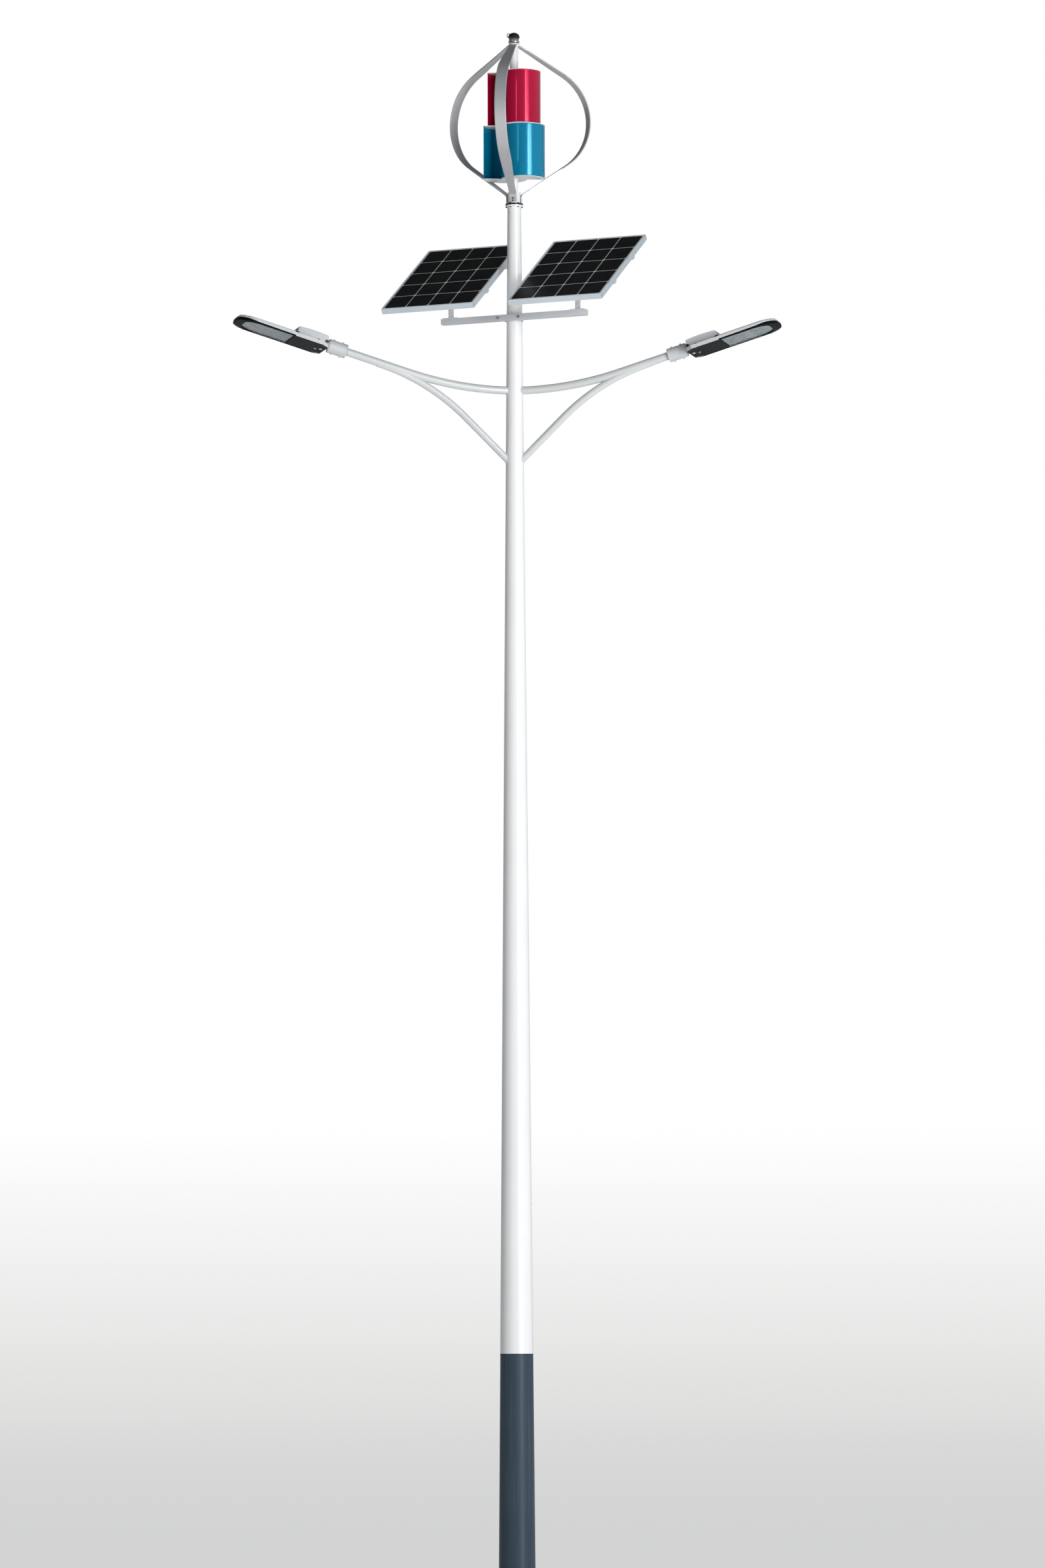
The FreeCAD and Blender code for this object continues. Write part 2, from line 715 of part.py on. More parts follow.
def arm_start():
    """The arm tube starts inside the pole's wall and is coped to it."""
    return Vector(float(pole_radius(arm_root()) - s.arm_bite), 0, float(arm_root()))


def arm_straight(side):
    """The straight end of an arm; the left arm reaches a little further than the right one."""
    return float(s.right_arm_end if side == "right" else s.left_arm_end)


def arm_mouth(side):
    """Where the arm tube enters its sleeve."""
    bite = float(s.arm_bite)
    _, point, _ = arc_path(arm_start(), 0, [(bite, None), (float(s.arm_bend), float(s.arm_rise)),
                                            (arm_straight(side), None)])
    return point


def arm_shape(side):
    outer = float(s.arm_tube) / 2
    steps = [(float(s.arm_bite), None), (float(s.arm_bend), float(s.arm_rise)),
             (arm_straight(side) + float(s.arm_grip), None)]
    path, _, _ = arc_path(arm_start(), 0, steps)
    tube = swept_rod(path, outer)
    bore = swept_rod(path, outer - float(s.arm_wall))
    low = float(brace_root())
    bite = float(s.brace_bite)
    brace_start = Vector(float(pole_radius(brace_root())) - bite, 0, low - bite)
    brace_steps = [(float(s.brace_straight) + bite * math.sqrt(2), None),
                   (float(s.brace_bend), float(s.brace_flat)), (float(s.brace_tail), None)]
    brace_path, _, _ = arc_path(brace_start, float(s.brace_steep), brace_steps)
    brace = swept_rod(brace_path, float(s.brace_tube) / 2).cut(tube)
    brace_bore = swept_rod(brace_path, float(s.brace_tube) / 2 - float(s.arm_wall))
    lower = max(brace.Solids, key=lambda piece: piece.Volume).cut(brace_bore)
    lower = max(lower.Solids, key=lambda piece: piece.Volume)
    half = float(s.cope_half)
    middle = (low + float(arm_root())) / 2
    pole = Part.makeCone(float(pole_radius(middle - half)), float(pole_radius(middle + half)), 2 * half,
                         Vector(0, 0, middle - half))
    return Part.makeCompound([tube.cut(bore).cut(pole), lower.cut(pole)])


def arm(side, frame):
    node(f"{side}_arm", solid(arm_shape(side)), frame)


# ---------------------------------------------------------------- lamp heads
def flat_outline(points, low, high):
    """A prism over (x, y) corners, where a corner may be an arc's middle point."""
    edges = []
    for first, middle, last in points:
        start = Vector(first[0], first[1], low)
        end = Vector(last[0], last[1], low)
        if middle is None:
            edges.append(Part.LineSegment(start, end).toShape())
        else:
            edges.append(Part.Arc(start, Vector(middle[0], middle[1], low), end).toShape())
    return Part.Face(Part.Wire(edges)).extrude(Vector(0, 0, high - low))


def head_outline(inset, low, high):
    """The lamp head's outline: bevelled rear corners and a round nose."""
    start = float(s.head_start) + inset
    end = float(s.head_start) + float(s.head_long) - inset
    half = float(s.head_wide) / 2 - inset
    bevel = float(s.rear_bevel)
    radius = float(s.head_corner) - inset
    lean = radius * (1 - math.sqrt(0.5))
    sides = [
        ((start, -half + bevel), None, (start + bevel, -half)),
        ((start + bevel, -half), None, (end - radius, -half)),
        ((end - radius, -half), (end - lean, -half + lean), (end, -half + radius)),
        ((end, -half + radius), None, (end, half - radius)),
        ((end, half - radius), (end - lean, half - lean), (end - radius, half)),
        ((end - radius, half), None, (start + bevel, half)),
        ((start + bevel, half), None, (start, half - bevel)),
        ((start, half - bevel), None, (start, -half + bevel)),
    ]
    return flat_outline(sides, low, high)


def cover_end():
    return s.head_start + s.gear_long


def tilt_pocket():
    """Room for the sleeve's tongue at the rear of the head."""
    half = s.tongue_half + s.lug_play
    low = -s.tongue_round - s.pocket_play
    reach = s.pivot_at + s.tongue_round + s.pocket_play - s.head_start
    return box(reach + 1, 2 * half, 2 * (s.tongue_round + s.pocket_play), s.head_start + reach / 2 - 0.5, 0, low)


def pivot_rod(radius, half):
    return cylinder(radius, 2 * half, s.pivot_at, half, 0, turn(90, ALONG))


def bay_start():
    return s.pivot_at + s.tongue_round + s.pocket_play + s.gear_wall


def gear_bay(low, high):
    length = cover_end() - s.bay_end - bay_start()
    width = s.gear_wide - 2 * s.gear_wall
    return box(length, width, high - low, bay_start() + length / 2, 0, low)


def cover_slab(play, end, high):
    """The gear cover's slab, grown by a clearance: it follows the head's rear corners."""
    low = -float(s.head_low)
    inset = float(s.head_wide - s.cover_wide) / 2 - play
    whole = solid(head_outline(inset, low, low + float(high)))
    length = end - s.head_start
    return common(whole, box(length, s.head_wide, high, s.head_start + length / 2, 0, -s.head_low))


def cover_axis():
    return cover_end() - s.cover_thick / 2


def lens_outline(inset, low, high):
    """The lens's outline: square at the gear cover, and round beside the head's nose corners."""
    start = float(cover_end() + s.lens_gap) + inset
    end = start + float(s.lens_long) - 2 * inset
    half = float(s.lens_wide) / 2 - inset
    radius = float(s.head_corner - (s.head_wide - s.lens_wide) / 2) - inset
    lean = radius * (1 - math.sqrt(0.5))
    sides = [
        ((start, -half), None, (end - radius, -half)),
        ((end - radius, -half), (end - lean, -half + lean), (end, -half + radius)),
        ((end, -half + radius), None, (end, half - radius)),
        ((end, half - radius), (end - lean, half - lean), (end - radius, half)),
        ((end - radius, half), None, (start, half)),
        ((start, half), None, (start, -half)),
    ]
    return flat_outline(sides, float(low), float(high))


def lamp_housing(side, frame):
    low = -float(s.head_low)
    rim = low + float(s.rim_thick)
    slab = solid(head_outline(0, low, rim))
    fins = []
    inset = float(s.fin_inset)
    fin_start = float(cover_end()) + inset
    fin_long = float(s.head_long + s.head_start) - fin_start
    edge = float(s.fin_edge)
    pitch = (float(s.head_wide) - 2 * edge) / (float(s.fin_count) - 1)
    for number in range(int(float(s.fin_count))):
        middle = edge - float(s.head_wide) / 2 + pitch * number
        fin = Part.makeBox(fin_long, float(s.fin_thick), float(s.fin_high),
                           Vector(fin_start, middle - float(s.fin_thick) / 2, rim))
        fins.append(fin)
    rounded = head_outline(inset, rim, rim + float(s.fin_high))
    cooling = solid(Part.makeCompound(fins).common(rounded))
    lens_pocket = solid(lens_outline(0, -s.head_low, s.lens_deep - s.head_low))
    recess = cover_slab(float(s.cover_play), cover_end() + s.cover_play, s.cover_thick + s.cover_play)
    pin_half = s.cover_wide / 2 + s.cover_play + s.pin_bite + 1
    pins = cylinder(s.cover_pin + s.run_gap, 2 * pin_half, cover_axis(), pin_half,
                    s.cover_thick / 2 - s.head_low, turn(90, ALONG))
    hollow = cut(fuse(slab, cooling), lens_pocket, recess, tilt_pocket(), pins,
                 gear_bay(-s.head_low, s.gear_top),
                 pivot_rod(s.pivot_bolt, s.head_wide / 2))
    node(f"{side}_lamp_housing", hollow, frame)


def driver_box(side, frame):
    low = s.rim_thick - s.head_low
    length = s.gear_long - s.gear_lip
    outer = box(length, s.gear_wide, s.gear_top - low, s.head_start + length / 2, 0, low)
    shell = cut(outer, gear_bay(low, s.gear_top - s.gear_wall), tilt_pocket(),
                pivot_rod(s.pivot_bolt, s.head_wide / 2))
    node(f"{side}_driver_box", shell, frame)


def lens_and_board(side, frame):
    low = s.lens_sunk - s.head_low
    top = s.lens_deep - s.head_low
    play = float(s.lens_play)
    tray = solid(lens_outline(play, low, top))
    hollow = solid(lens_outline(play + float(s.skirt_wall), low + s.lens_thick, top))
    node(f"{side}_lens_plate", cut(tray, hollow), frame)
    board = solid(lens_outline(float(s.board_inset), top - s.board_thick, top))
    node(f"{side}_led_board", board, frame)
    ceiling = s.gear_top - s.gear_wall
    driver_middle = bay_start() + s.driver_gap + s.driver_long / 2
    driver = box(s.driver_long, s.driver_wide, s.driver_high, driver_middle, 0, ceiling - s.driver_high)
    node(f"{side}_led_driver", driver, frame)


def lamp_bolts(side, frame):
    """Tilt pivot bolt across the driver box, with a head and a nut."""
    half = s.gear_wide / 2
    shank = pivot_rod(s.pivot_bolt, half)
    high = s.pivot_head_high
    head = cylinder(s.pivot_head, high, s.pivot_at, half + high, 0, turn(90, ALONG))
    nut = hexagon(s.pivot_head, high, s.pivot_at, -half, 0, turn(90, ALONG))
    node(f"{side}_lamp_bolts", fuse(shank, head, nut), frame)


def spigot_sleeve(side, frame):
    outer = s.sleeve_dia / 2
    along = turn(90, ACROSS)
    tube = cylinder(outer, s.sleeve_long, 0, 0, 0, along)
    neck_long = s.pivot_at - s.sleeve_long
    neck = box(neck_long + 1, 2 * s.tongue_half, 2 * s.tongue_round,
               s.sleeve_long + neck_long / 2 - 0.5, 0, -s.tongue_round)
    knuckle = cylinder(s.tongue_round, 2 * s.tongue_half, s.pivot_at, s.tongue_half, 0, turn(90, ALONG))
    bore = cylinder(s.arm_tube / 2 + 0.2, s.arm_grip, 0, 0, 0, along)
    casting = cut(fuse(tube, neck, knuckle), bore, pivot_rod(s.pivot_bolt + s.run_gap, s.tongue_half + 1))
    screws = []
    for place in (s.sleeve_long / 4, s.sleeve_long * 3 / 4):
        for upright in (1, -1):
            rotation = turn(0) if upright > 0 else turn(180, ALONG)
            start = (s.sleeve_dia / 2 - 1) * upright
            screws.append(hexagon(s.bolt_head + 1, 7, place, 0, start, rotation))
    node(f"{side}_spigot_sleeve", fuse(casting, *screws), frame)


def gear_cover(side, frame):
    low = -s.head_low
    plate = cover_slab(0, cover_axis(), s.cover_thick)
    edge_half = s.cover_wide / 2
    edge = cylinder(s.cover_thick / 2, s.cover_wide, cover_axis(), edge_half, low + s.cover_thick / 2,
                    turn(90, ALONG))
    pin_half = s.cover_wide / 2 + s.cover_play + s.pin_bite
    pins = cylinder(s.cover_pin, 2 * pin_half, cover_axis(), pin_half, low + s.cover_thick / 2,
                    turn(90, ALONG))
    notch = box(60, 2 * s.tongue_half + 2, 20, s.head_start, 0, low - 5)
    stem = cylinder(s.latch_stem + s.run_gap, 20, latch_at(), 0, low - 5)
    node(f"{side}_gear_cover", cut(fuse(plate, edge, pins), notch, stem), frame)


def latch_at():
    return bay_start() + s.latch_head + 3


def cover_latch(side, frame):
    low = -s.head_low
    head = cylinder(s.latch_head, 3, latch_at(), 0, low - 3.3)
    stem = cylinder(s.latch_stem, s.cover_thick + 4, latch_at(), 0, low - 1)
    grip = box(2.5, 2 * s.latch_head - 4, 4, latch_at(), 0, low - 7)
    cam = cylinder(s.latch_head - 2, 2, latch_at(), 0, low + s.cover_thick + 0.3)
    node(f"{side}_cover_latch", fuse(head, stem, grip, cam), frame)


def lamp_frame(side, arm_frame):
    mouth = arm_mouth(side)
    tilt = Rotation(ACROSS, -float(s.arm_rise))
    return arm_frame * Placement(mouth, tilt)


# ---------------------------------------------------------------- panel assembly
def bar_frame():
    return Placement(Vector(), turn(-float(s.bar_yaw)))


def crossbar():
    body = new_body("crossbar")
    sketch = new_sketch(body, "YZ_Plane")
    rectangle(sketch, s.bar_deep, s.bar_high, -s.bar_front, bar_level())
    rectangle(sketch, s.bar_deep - 2 * s.bar_wall, s.bar_high - 2 * s.bar_wall, -s.bar_front, bar_level())
    sketch.AttachmentOffset = at(z=s.bar_shift)
    tube = pad(body, sketch, s.bar_long)
    tube.SideType = "Symmetric"
    for end in (1, -1):
        plug = new_sketch(body, "YZ_Plane")
        rectangle(plug, s.bar_deep, s.bar_high, -s.bar_front, bar_level())
        plug.AttachmentOffset = at(z=s.bar_shift + (s.bar_long / 2) * end)
        pad(body, plug, s.bar_wall)
        if end < 0:
            body.Tip.Reversed = True
        else:
            body.Tip.Reversed = False
    holes = new_sketch(body, "XZ_Plane")
    for end in (1, -1):
        circle(holes, s.clamp_bolt, collar_bolt_at() * end, bar_level())
    pocket_through(body, holes)
    node("crossbar", body, bar_frame())


def collar_bolt_at():
    return pole_radius(bar_level()) + s.collar_gap + s.strap_thick + s.ear_reach / 2


def pole_collar():
    """Rear strap round the pole and the saddle between the pole and the bar."""
    low = bar_level() - s.bar_high / 2
    back = s.bar_front - s.bar_deep / 2
    strap_out = pole_radius(bar_level()) + s.collar_gap + s.strap_thick
    ring = cylinder(strap_out, s.bar_high, 0, 0, low)
    legs = box(2 * strap_out, back, s.bar_high, 0, -back / 2, low)
    ears = box(2 * (strap_out + s.ear_reach), s.strap_thick, s.bar_high, 0, s.strap_thick / 2 - back, low)
    bore = pole_solid(s.collar_gap, low - 1, low + s.bar_high + 1)
    inner = box(2 * (strap_out - s.strap_thick), back + 1, s.bar_high + 2, 0, -back / 2 - 0.5, low - 1)
    holes = []
    for end in (1, -1):
        holes.append(cylinder(s.clamp_bolt, s.foot_dia, collar_bolt_at() * end, s.foot_dia / 2,
                              bar_level(), turn(90, ALONG)))
    strap = cut(fuse(ring, legs, ears), bore, inner, *holes)
    saddle_wide = 1.5 * pole_radius(bar_level())
    saddle = cut(box(saddle_wide, back - 22, s.bar_high, 0, -back / 2 - 11, low),
                 pole_solid(s.collar_gap, low - 1, low + s.bar_high + 1))
    node("pole_collar", group(strap, saddle), bar_frame())


def collar_bolts():
    back = s.bar_front - s.bar_deep / 2 - s.strap_thick
    front = s.bar_front + s.bar_deep / 2
    pieces = []
    for end in (1, -1):
        x = collar_bolt_at() * end
        shank = cylinder(s.clamp_bolt, front - back, x, -back, bar_level(), turn(90, ALONG))
        head = hexagon(s.clamp_bolt * 1.7, 6, x, -front, bar_level(), turn(90, ALONG))
        nut = hexagon(s.clamp_bolt * 1.7, 8, x, 8 - back, bar_level(), turn(90, ALONG))
        pieces.append(fuse(shank, head, nut))
    node("collar_bolts", group(*pieces), bar_frame())


def bracket_posts():
    """Two square posts on the bar, each with a forked head and its pin."""
    low = bar_level() + s.bar_high / 2
    high = pivot_level() - low
    pieces = []
    for end in (1, -1):
        x = s.panel_at * end + s.bar_shift
        post = box(s.post_side, s.post_side, high, x, -s.bar_front, low)
        shoe = box(s.shoe_long, s.bar_deep, s.shoe_thick, x, -s.bar_front, low)
        head = cylinder(s.post_side / 2, s.post_side, x - s.post_side / 2, -s.bar_front, pivot_level(),
                        turn(90, ACROSS))
        slot = box(s.lug_thick + 2 * s.lug_play, s.post_side + 2, 3 * s.lug_round, x, -s.bar_front,
                   pivot_level() - s.lug_round - 2)
        pin_half = s.post_side / 2 + 7
        pin = cylinder(s.panel_pin, 2 * pin_half, x - pin_half, -s.bar_front, pivot_level(), turn(90, ACROSS))
        pieces.append(fuse(cut(fuse(shoe, post, head), slot), pin))
    node("bracket_posts", group(*pieces), bar_frame())


def panel_frame_place(end):
    """Frame on a panel's pivot: x along the bar, y up the slope, z out of the face."""
    pivot = Vector(float(s.panel_at) * end, -float(s.bar_front), float(pivot_level()))
    return bar_frame() * Placement(pivot, turn(s.panel_tilt, ALONG))


def panel(side, end):
    place = panel_frame_place(end)
    underside = s.face_rise - s.frame_high
    body = new_body(f"{side}_panel_frame")
    sketch = new_sketch(body)
    rectangle(sketch, s.panel_wide, s.panel_long, 0, s.face_shift)
    rectangle(sketch, s.panel_wide - 2 * s.frame_lip, s.panel_long - 2 * s.frame_lip, 0, s.face_shift)
    pad(body, sketch, s.frame_high)
    body.Placement = at(z=underside)
    bite = s.frame_lip * 2 / 3
    laminate_wide = s.panel_wide - 2 * s.frame_lip + bite
    laminate_long = s.panel_long - 2 * s.frame_lip + bite
    laminate_low = s.face_rise - s.glass_sunk - s.glass_thick
    groove = box(laminate_wide, laminate_long, s.glass_thick, 0, s.face_shift, laminate_low)
    laminate = box(laminate_wide, laminate_long, s.glass_thick, 0, s.face_shift, laminate_low)
    node(f"{side}_panel_frame", cut(body, groove), place)
    node(f"{side}_panel_laminate", laminate, place)
    rails = []
    for up_slope in (1, -1):
        rails.append(box(s.panel_wide, s.rail_wide, s.rail_deep, 0, s.face_shift + s.rail_offset * up_slope,
                         underside - s.rail_deep))
    spine_low = underside - 2 * s.rail_deep
    post_at = s.bar_shift
    spine = box(s.rail_wide, 2 * s.rail_offset + s.rail_wide, s.rail_deep, post_at, s.face_shift, spine_low)
    lug = box(s.lug_thick, 2 * s.lug_round, spine_low, post_at, 0, 0)
    eye = cylinder(s.lug_round, s.lug_thick, post_at - s.lug_thick / 2, 0, 0, turn(90, ACROSS))
    bore = cylinder(s.panel_pin + s.run_gap, s.lug_thick + 2, post_at - s.lug_thick / 2 - 1, 0, 0,
                    turn(90, ACROSS))
    node(f"{side}_panel_cradle", cut(fuse(spine, lug, eye, *rails), bore), place)
    jbox = box(s.jbox_wide, s.jbox_long, s.jbox_high, 0, s.face_shift + s.jbox_shift,
               laminate_low - s.jbox_high)
    node(f"{side}_junction_box", jbox, place)


# ---------------------------------------------------------------- wind turbine
def rotor_base():
    """Height of the rotor hub's underside."""
    return s.pole_top + 2 * s.flange_thick + s.hub_gap


def mast_low():
    return rotor_base() + s.hub_high - s.hub_floor + s.mast_seat


def blue_low():
    """Height of the lower stage's foot."""
    return rotor_base() + s.hub_high + s.blue_lift


def red_low():
    """Height of the upper stage's foot."""
    return blue_low() + s.blue_high + s.stage_split


def mast_top():
    return red_low() + s.red_high + s.stage_thick + s.mast_rise


def generator():
    flange_low = s.pole_top + s.flange_thick
    body = new_body("generator_flange")
    pad(body, circle(new_sketch(body), s.flange_dia / 2), s.flange_thick)
    hole = circle(new_sketch(body), s.flange_bolt, s.flange_pitch, 0)
    polar(body, pocket_through(body, hole), hole, s.flange_bolts)
    body.Placement = at(z=flange_low)
    node("generator_flange", body)
    top = flange_low + s.flange_thick
    node("generator_axle", cylinder(s.axle_dia / 2, mast_top() - 8 - top, 0, 0, top))
    stator_low = rotor_base() + s.hub_floor + 3
    stator_high = s.hub_high - 2 * s.hub_floor - 2
    stator = cut(cylinder(s.stator_dia / 2, stator_high, 0, 0, stator_low),
                 cylinder(s.axle_dia / 2, stator_high, 0, 0, stator_low))
    node("generator_stator", stator)
    bolts = []
    for x, y in flange_spots():
        shank = cylinder(s.flange_bolt, 2 * s.flange_thick, x, y, s.pole_top)
        head = hexagon(s.bolt_head, s.head_high, x, y, top)
        nut = hexagon(s.bolt_head, s.head_high, x, y, s.pole_top - s.head_high)
        bolts.append(fuse(shank, head, nut))
    node("flange_bolts", group(*bolts))


def rotor_core():
    low = rotor_base()
    outer = s.hub_dia / 2
    inner = outer - s.hub_wall
    top = low + s.hub_high
    node("rotor_hub", revolved("rotor_hub", [
        (s.mast_bore / 2, low), (outer, low), (outer, top), (s.mast_neck / 2, top),
        (s.mast_neck / 2, mast_low()), (inner, mast_low()), (inner, low + s.hub_floor),
        (s.mast_bore / 2, low + s.hub_floor)]))
    stator_low = low + s.hub_floor + 3
    ring_high = s.hub_high - 2 * s.hub_floor - 2
    magnets = cut(cylinder(inner, ring_high, 0, 0, stator_low),
                  cylinder(inner - s.magnet_thick, ring_high, 0, 0, stator_low))
    node("generator_magnets", magnets)
    wide = s.mast_dia / 2
    neck_top = top + 10
    node("rotor_shaft", revolved("rotor_shaft", [
        (s.mast_bore / 2, mast_low()), (s.mast_neck / 2, mast_low()), (s.mast_neck / 2, neck_top),
        (wide, blue_low() - s.stage_thick), (wide, mast_top()), (s.mast_bore / 2, mast_top())]))
    rings = []
    for height in (low + 2, mast_top() - 20 - s.bearing_high):
        rings.append(cut(cylinder(s.mast_bore / 2, s.bearing_high, 0, 0, height),
                         cylinder(s.axle_dia / 2 + s.run_gap, s.bearing_high, 0, 0, height)))
    node("rotor_bearings", group(*rings))


def blade_path():
    """Centre line of a bowed blade, from its foot up to the top hub."""
    foot_x = float(s.hub_dia) / 2 + float(s.blade_thick) / 2
    low = float(rotor_base()) + 8
    climb = float(s.blade_climb)
    drop = 180 - float(s.blade_drop)
    bend = float(s.foot_bend)
    top = float(mast_top()) + float(s.cap_seat_high) / 2
    rise = math.radians(climb)
    fall = math.radians(float(s.blade_drop))
    bend_high = float(rotor_base()) + float(s.foot_high)
    start = Vector(foot_x, 0, low)
    exit_x = foot_x + bend * (1 - math.sin(rise))
    exit_z = bend_high + bend * math.cos(rise)
    reach = float(s.blade_out) - float(s.blade_thick) / 2 - exit_x
    end_x = float(s.cap_seat_dia) / 2 - 6
    back = float(s.blade_out) - float(s.blade_thick) / 2 - end_x
    # Both straights touch the big bend, whose size makes the blade close at the top hub.
    low_turn = 1 - math.sin(rise)
    high_turn = 1 - math.sin(fall)
    height = top - exit_z
    flat = reach * math.tan(rise) + back * math.tan(fall)
    per_radius = (math.cos(rise) - low_turn * math.tan(rise)) + (math.cos(fall) - high_turn * math.tan(fall))
    radius = (height - flat) / per_radius
    lower = (reach - radius * low_turn) / math.cos(rise)
    upper = (back - radius * high_turn) / math.cos(fall)
    steps = [(bend_high - low, None), (bend, climb), (lower, None), (radius, drop), (upper, None)]
    path, _, _ = arc_path(start, 90, steps)
    return path


def blade_shape():
    """Flat strip with round edges, narrower at both ends, coped to the two hubs."""
    half = float(s.blade_thick) / 2
    wide = float(s.blade_wide) / 2 - half
    path = blade_path()
    start = path.Edges[0].firstVertex().Point
    corners = [Vector(start.x + half * x, wide * y, start.z) for x, y in ((-1, -1), (1, -1), (1, 1), (-1, 1))]
    nose = start + Vector(0, -wide - half, 0)
    tail = start + Vector(0, wide + half, 0)
    section = Part.Wire([
        Part.Arc(corners[0], nose, corners[1]).toShape(),
        Part.LineSegment(corners[1], corners[2]).toShape(),
        Part.Arc(corners[2], tail, corners[3]).toShape(),
        Part.LineSegment(corners[3], corners[0]).toShape()])
    strip = path.makePipeShell([section], True, False)
    low = float(rotor_base())
    high = float(mast_top()) + float(s.cap_seat_high)
    foot = float(s.blade_foot) / 2
    full = float(s.blade_wide) / 2 + 1
    levels = [(foot, low), (foot, low + float(s.hub_high) + 20), (full, low + 240), (full, high - 190),
              (foot, high - 40), (foot, high + 20)]
    side = [Vector(0, y, z) for y, z in levels] + [Vector(0, -y, z) for y, z in reversed(levels)]
    side.append(side[0])
    taper = Part.Face(Part.makePolygon(side)).extrude(Vector(float(s.blade_out) + 50, 0, 0))
    hub = Part.makeCylinder(float(s.hub_dia) / 2, float(s.hub_high), Vector(0, 0, low))
    seat = Part.makeCylinder(float(s.cap_seat_dia) / 2, 60, Vector(0, 0, float(mast_top()) - 30))
    return strip.common(taper).cut(hub).cut(seat)


def blades():
    shape = blade_shape()
    count = int(float(s.blade_count))
    for number in range(count):
        turned = at(rotation=turn(float(s.blade_turn) + 360 * number / count))
        node(f"blade_{number + 1}", solid(shape), turned)


def blade_bolts():
    heads = []
    reach = s.hub_dia / 2 + s.blade_thick
    count = int(float(s.blade_count))
    for number in range(count):
        spin = turn(float(s.blade_turn) + 360 * number / count)
        for height in (14, 28):
            screw = hexagon(s.bolt_head, s.head_high, reach, 0, rotor_base() + height, turn(90, ACROSS))
            heads.append(reframe(screw, at(rotation=spin)))
    node("blade_bolts", group(*heads))


def bucket(radius, shift, high):
    """A half drum, open towards +y, centred off the axis."""
    outer = cylinder(radius, high, shift)
    inner = cylinder(radius - s.bucket_thick, high, shift)
    keep = box(2 * radius, radius, high, shift, -radius / 2)
    return common(cut(outer, inner), keep)


def buckets(name, radius, shift, low, high, degrees):
    first = bucket(radius, shift, high)
    second = bucket(radius, shift, high)
    second.Placement = at(rotation=turn(180))
    node(name, group(first, second), at(0, 0, low, turn(degrees)))


def stage_plate(radius, shift, low, thick, degrees):
    """S-shaped plate that closes the ends of a stage's buckets."""
    halves = []
    for spin in (0, 180):
        rim = radius + s.stage_rim
        half = common(cylinder(rim, thick, shift), box(2 * rim, rim, thick, shift, -rim / 2))
        half.Placement = at(rotation=turn(spin))
        halves.append(half)
    plate = cut(fuse(cylinder(s.stage_hub, thick), *halves), cylinder(s.mast_dia / 2, thick))
    plate.Placement = at(0, 0, low, turn(degrees))
    return plate


def stage_plates():
    blue = (s.blue_round, s.blue_shift)
    red = (s.red_round, s.red_shift)
    blue_top = blue_low() + s.blue_high
    split = (red_low() - blue_top) / 2
    plates = [
        stage_plate(*blue, blue_low() - s.stage_thick, s.stage_thick, s.blue_turn),
        stage_plate(*blue, blue_top, split, s.blue_turn),
        stage_plate(*red, blue_top + split, split, s.red_turn),
        stage_plate(*red, red_low() + s.red_high, s.stage_thick, s.red_turn),
    ]
    node("stage_plates", group(*plates))


def rotor_top():
    low = mast_top()
    seat = s.cap_seat_dia / 2
    neck = s.cap_neck_dia / 2
    node("top_hub", revolved("top_hub", [
        (0, low), (seat, low), (seat, low + s.cap_seat_high), (neck, low + s.cap_seat_high),
        (neck, low + s.cap_seat_high + s.cap_neck_high), (0, low + s.cap_seat_high + s.cap_neck_high)]))
    cap_low = low + s.cap_seat_high + s.cap_neck_high
    cap = hexagon(s.cap_across / math.sqrt(3), s.cap_high, 0, 0, cap_low)
    dome = cone(s.cap_across * 0.72, s.cap_across * 0.45, s.cap_high, cap_low + 6)
    block = cylinder(s.cap_across, 8, 0, 0, cap_low)
    node("top_cap", common(cap, fuse(dome, block)))


# ---------------------------------------------------------------- build
def build():
    base_plate()
    base_gussets()
    pole_base_section()
    pole_shaft()
    access_door()
    door_lock()
    door_hinge_pin()
    equipment()
    for side, yaw in (("right", -float(s.arm_yaw)), ("left", 180 + float(s.arm_yaw))):
        arm_frame = at(rotation=turn(yaw))
        frame = lamp_frame(side, arm_frame)
        arm(side, arm_frame)
        for make in (spigot_sleeve, lamp_housing, driver_box, lens_and_board, lamp_bolts,
                     gear_cover, cover_latch):
            make(side, frame)
    crossbar()
    pole_collar()
    collar_bolts()
    bracket_posts()
    panel("right", 1)
    panel("left", -1)
    generator()
    rotor_core()
    blades()
    blade_bolts()
    buckets("upper_buckets", s.red_round, s.red_shift, red_low(), s.red_high, s.red_turn)
    buckets("lower_buckets", s.blue_round, s.blue_shift, blue_low(), s.blue_high, s.blue_turn)
    stage_plates()
    rotor_top()
    doc.recompute()


def check():
    """Stops the script if any object or sub-part failed."""
    for item in doc.Objects:
        if "Invalid" in item.State or "Error" in item.State:
            raise ValueError(f"{item.Name} ({item.Label}) failed: {item.State}")
    for item in nodes:
        if item.Shape.isNull() or not item.Shape.isValid() or not item.Shape.Solids:
            raise ValueError(f"{item.Label} has no valid solid")


def write():
    os.makedirs("parts", exist_ok=True)
    for item in nodes:
        item.Shape.exportStep(f"parts/{item.Label}.step")
        low = item.Shape.BoundBox
        print(f"{item.Label}: {len(item.Shape.Solids)} solids, {item.Shape.Volume / 1000:.1f} cm3,"
              f" z {low.ZMin:.1f} to {low.ZMax:.1f}")
    print(f"{len(nodes)} sub-parts")


build()
check()
write()
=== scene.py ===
"""Looks of a wind and solar street lamp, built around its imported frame."""
import json
import logging
import math
from collections.abc import Sequence
from dataclasses import dataclass, field
from enum import Enum

import bmesh
import bpy
from mathutils import Matrix, Vector


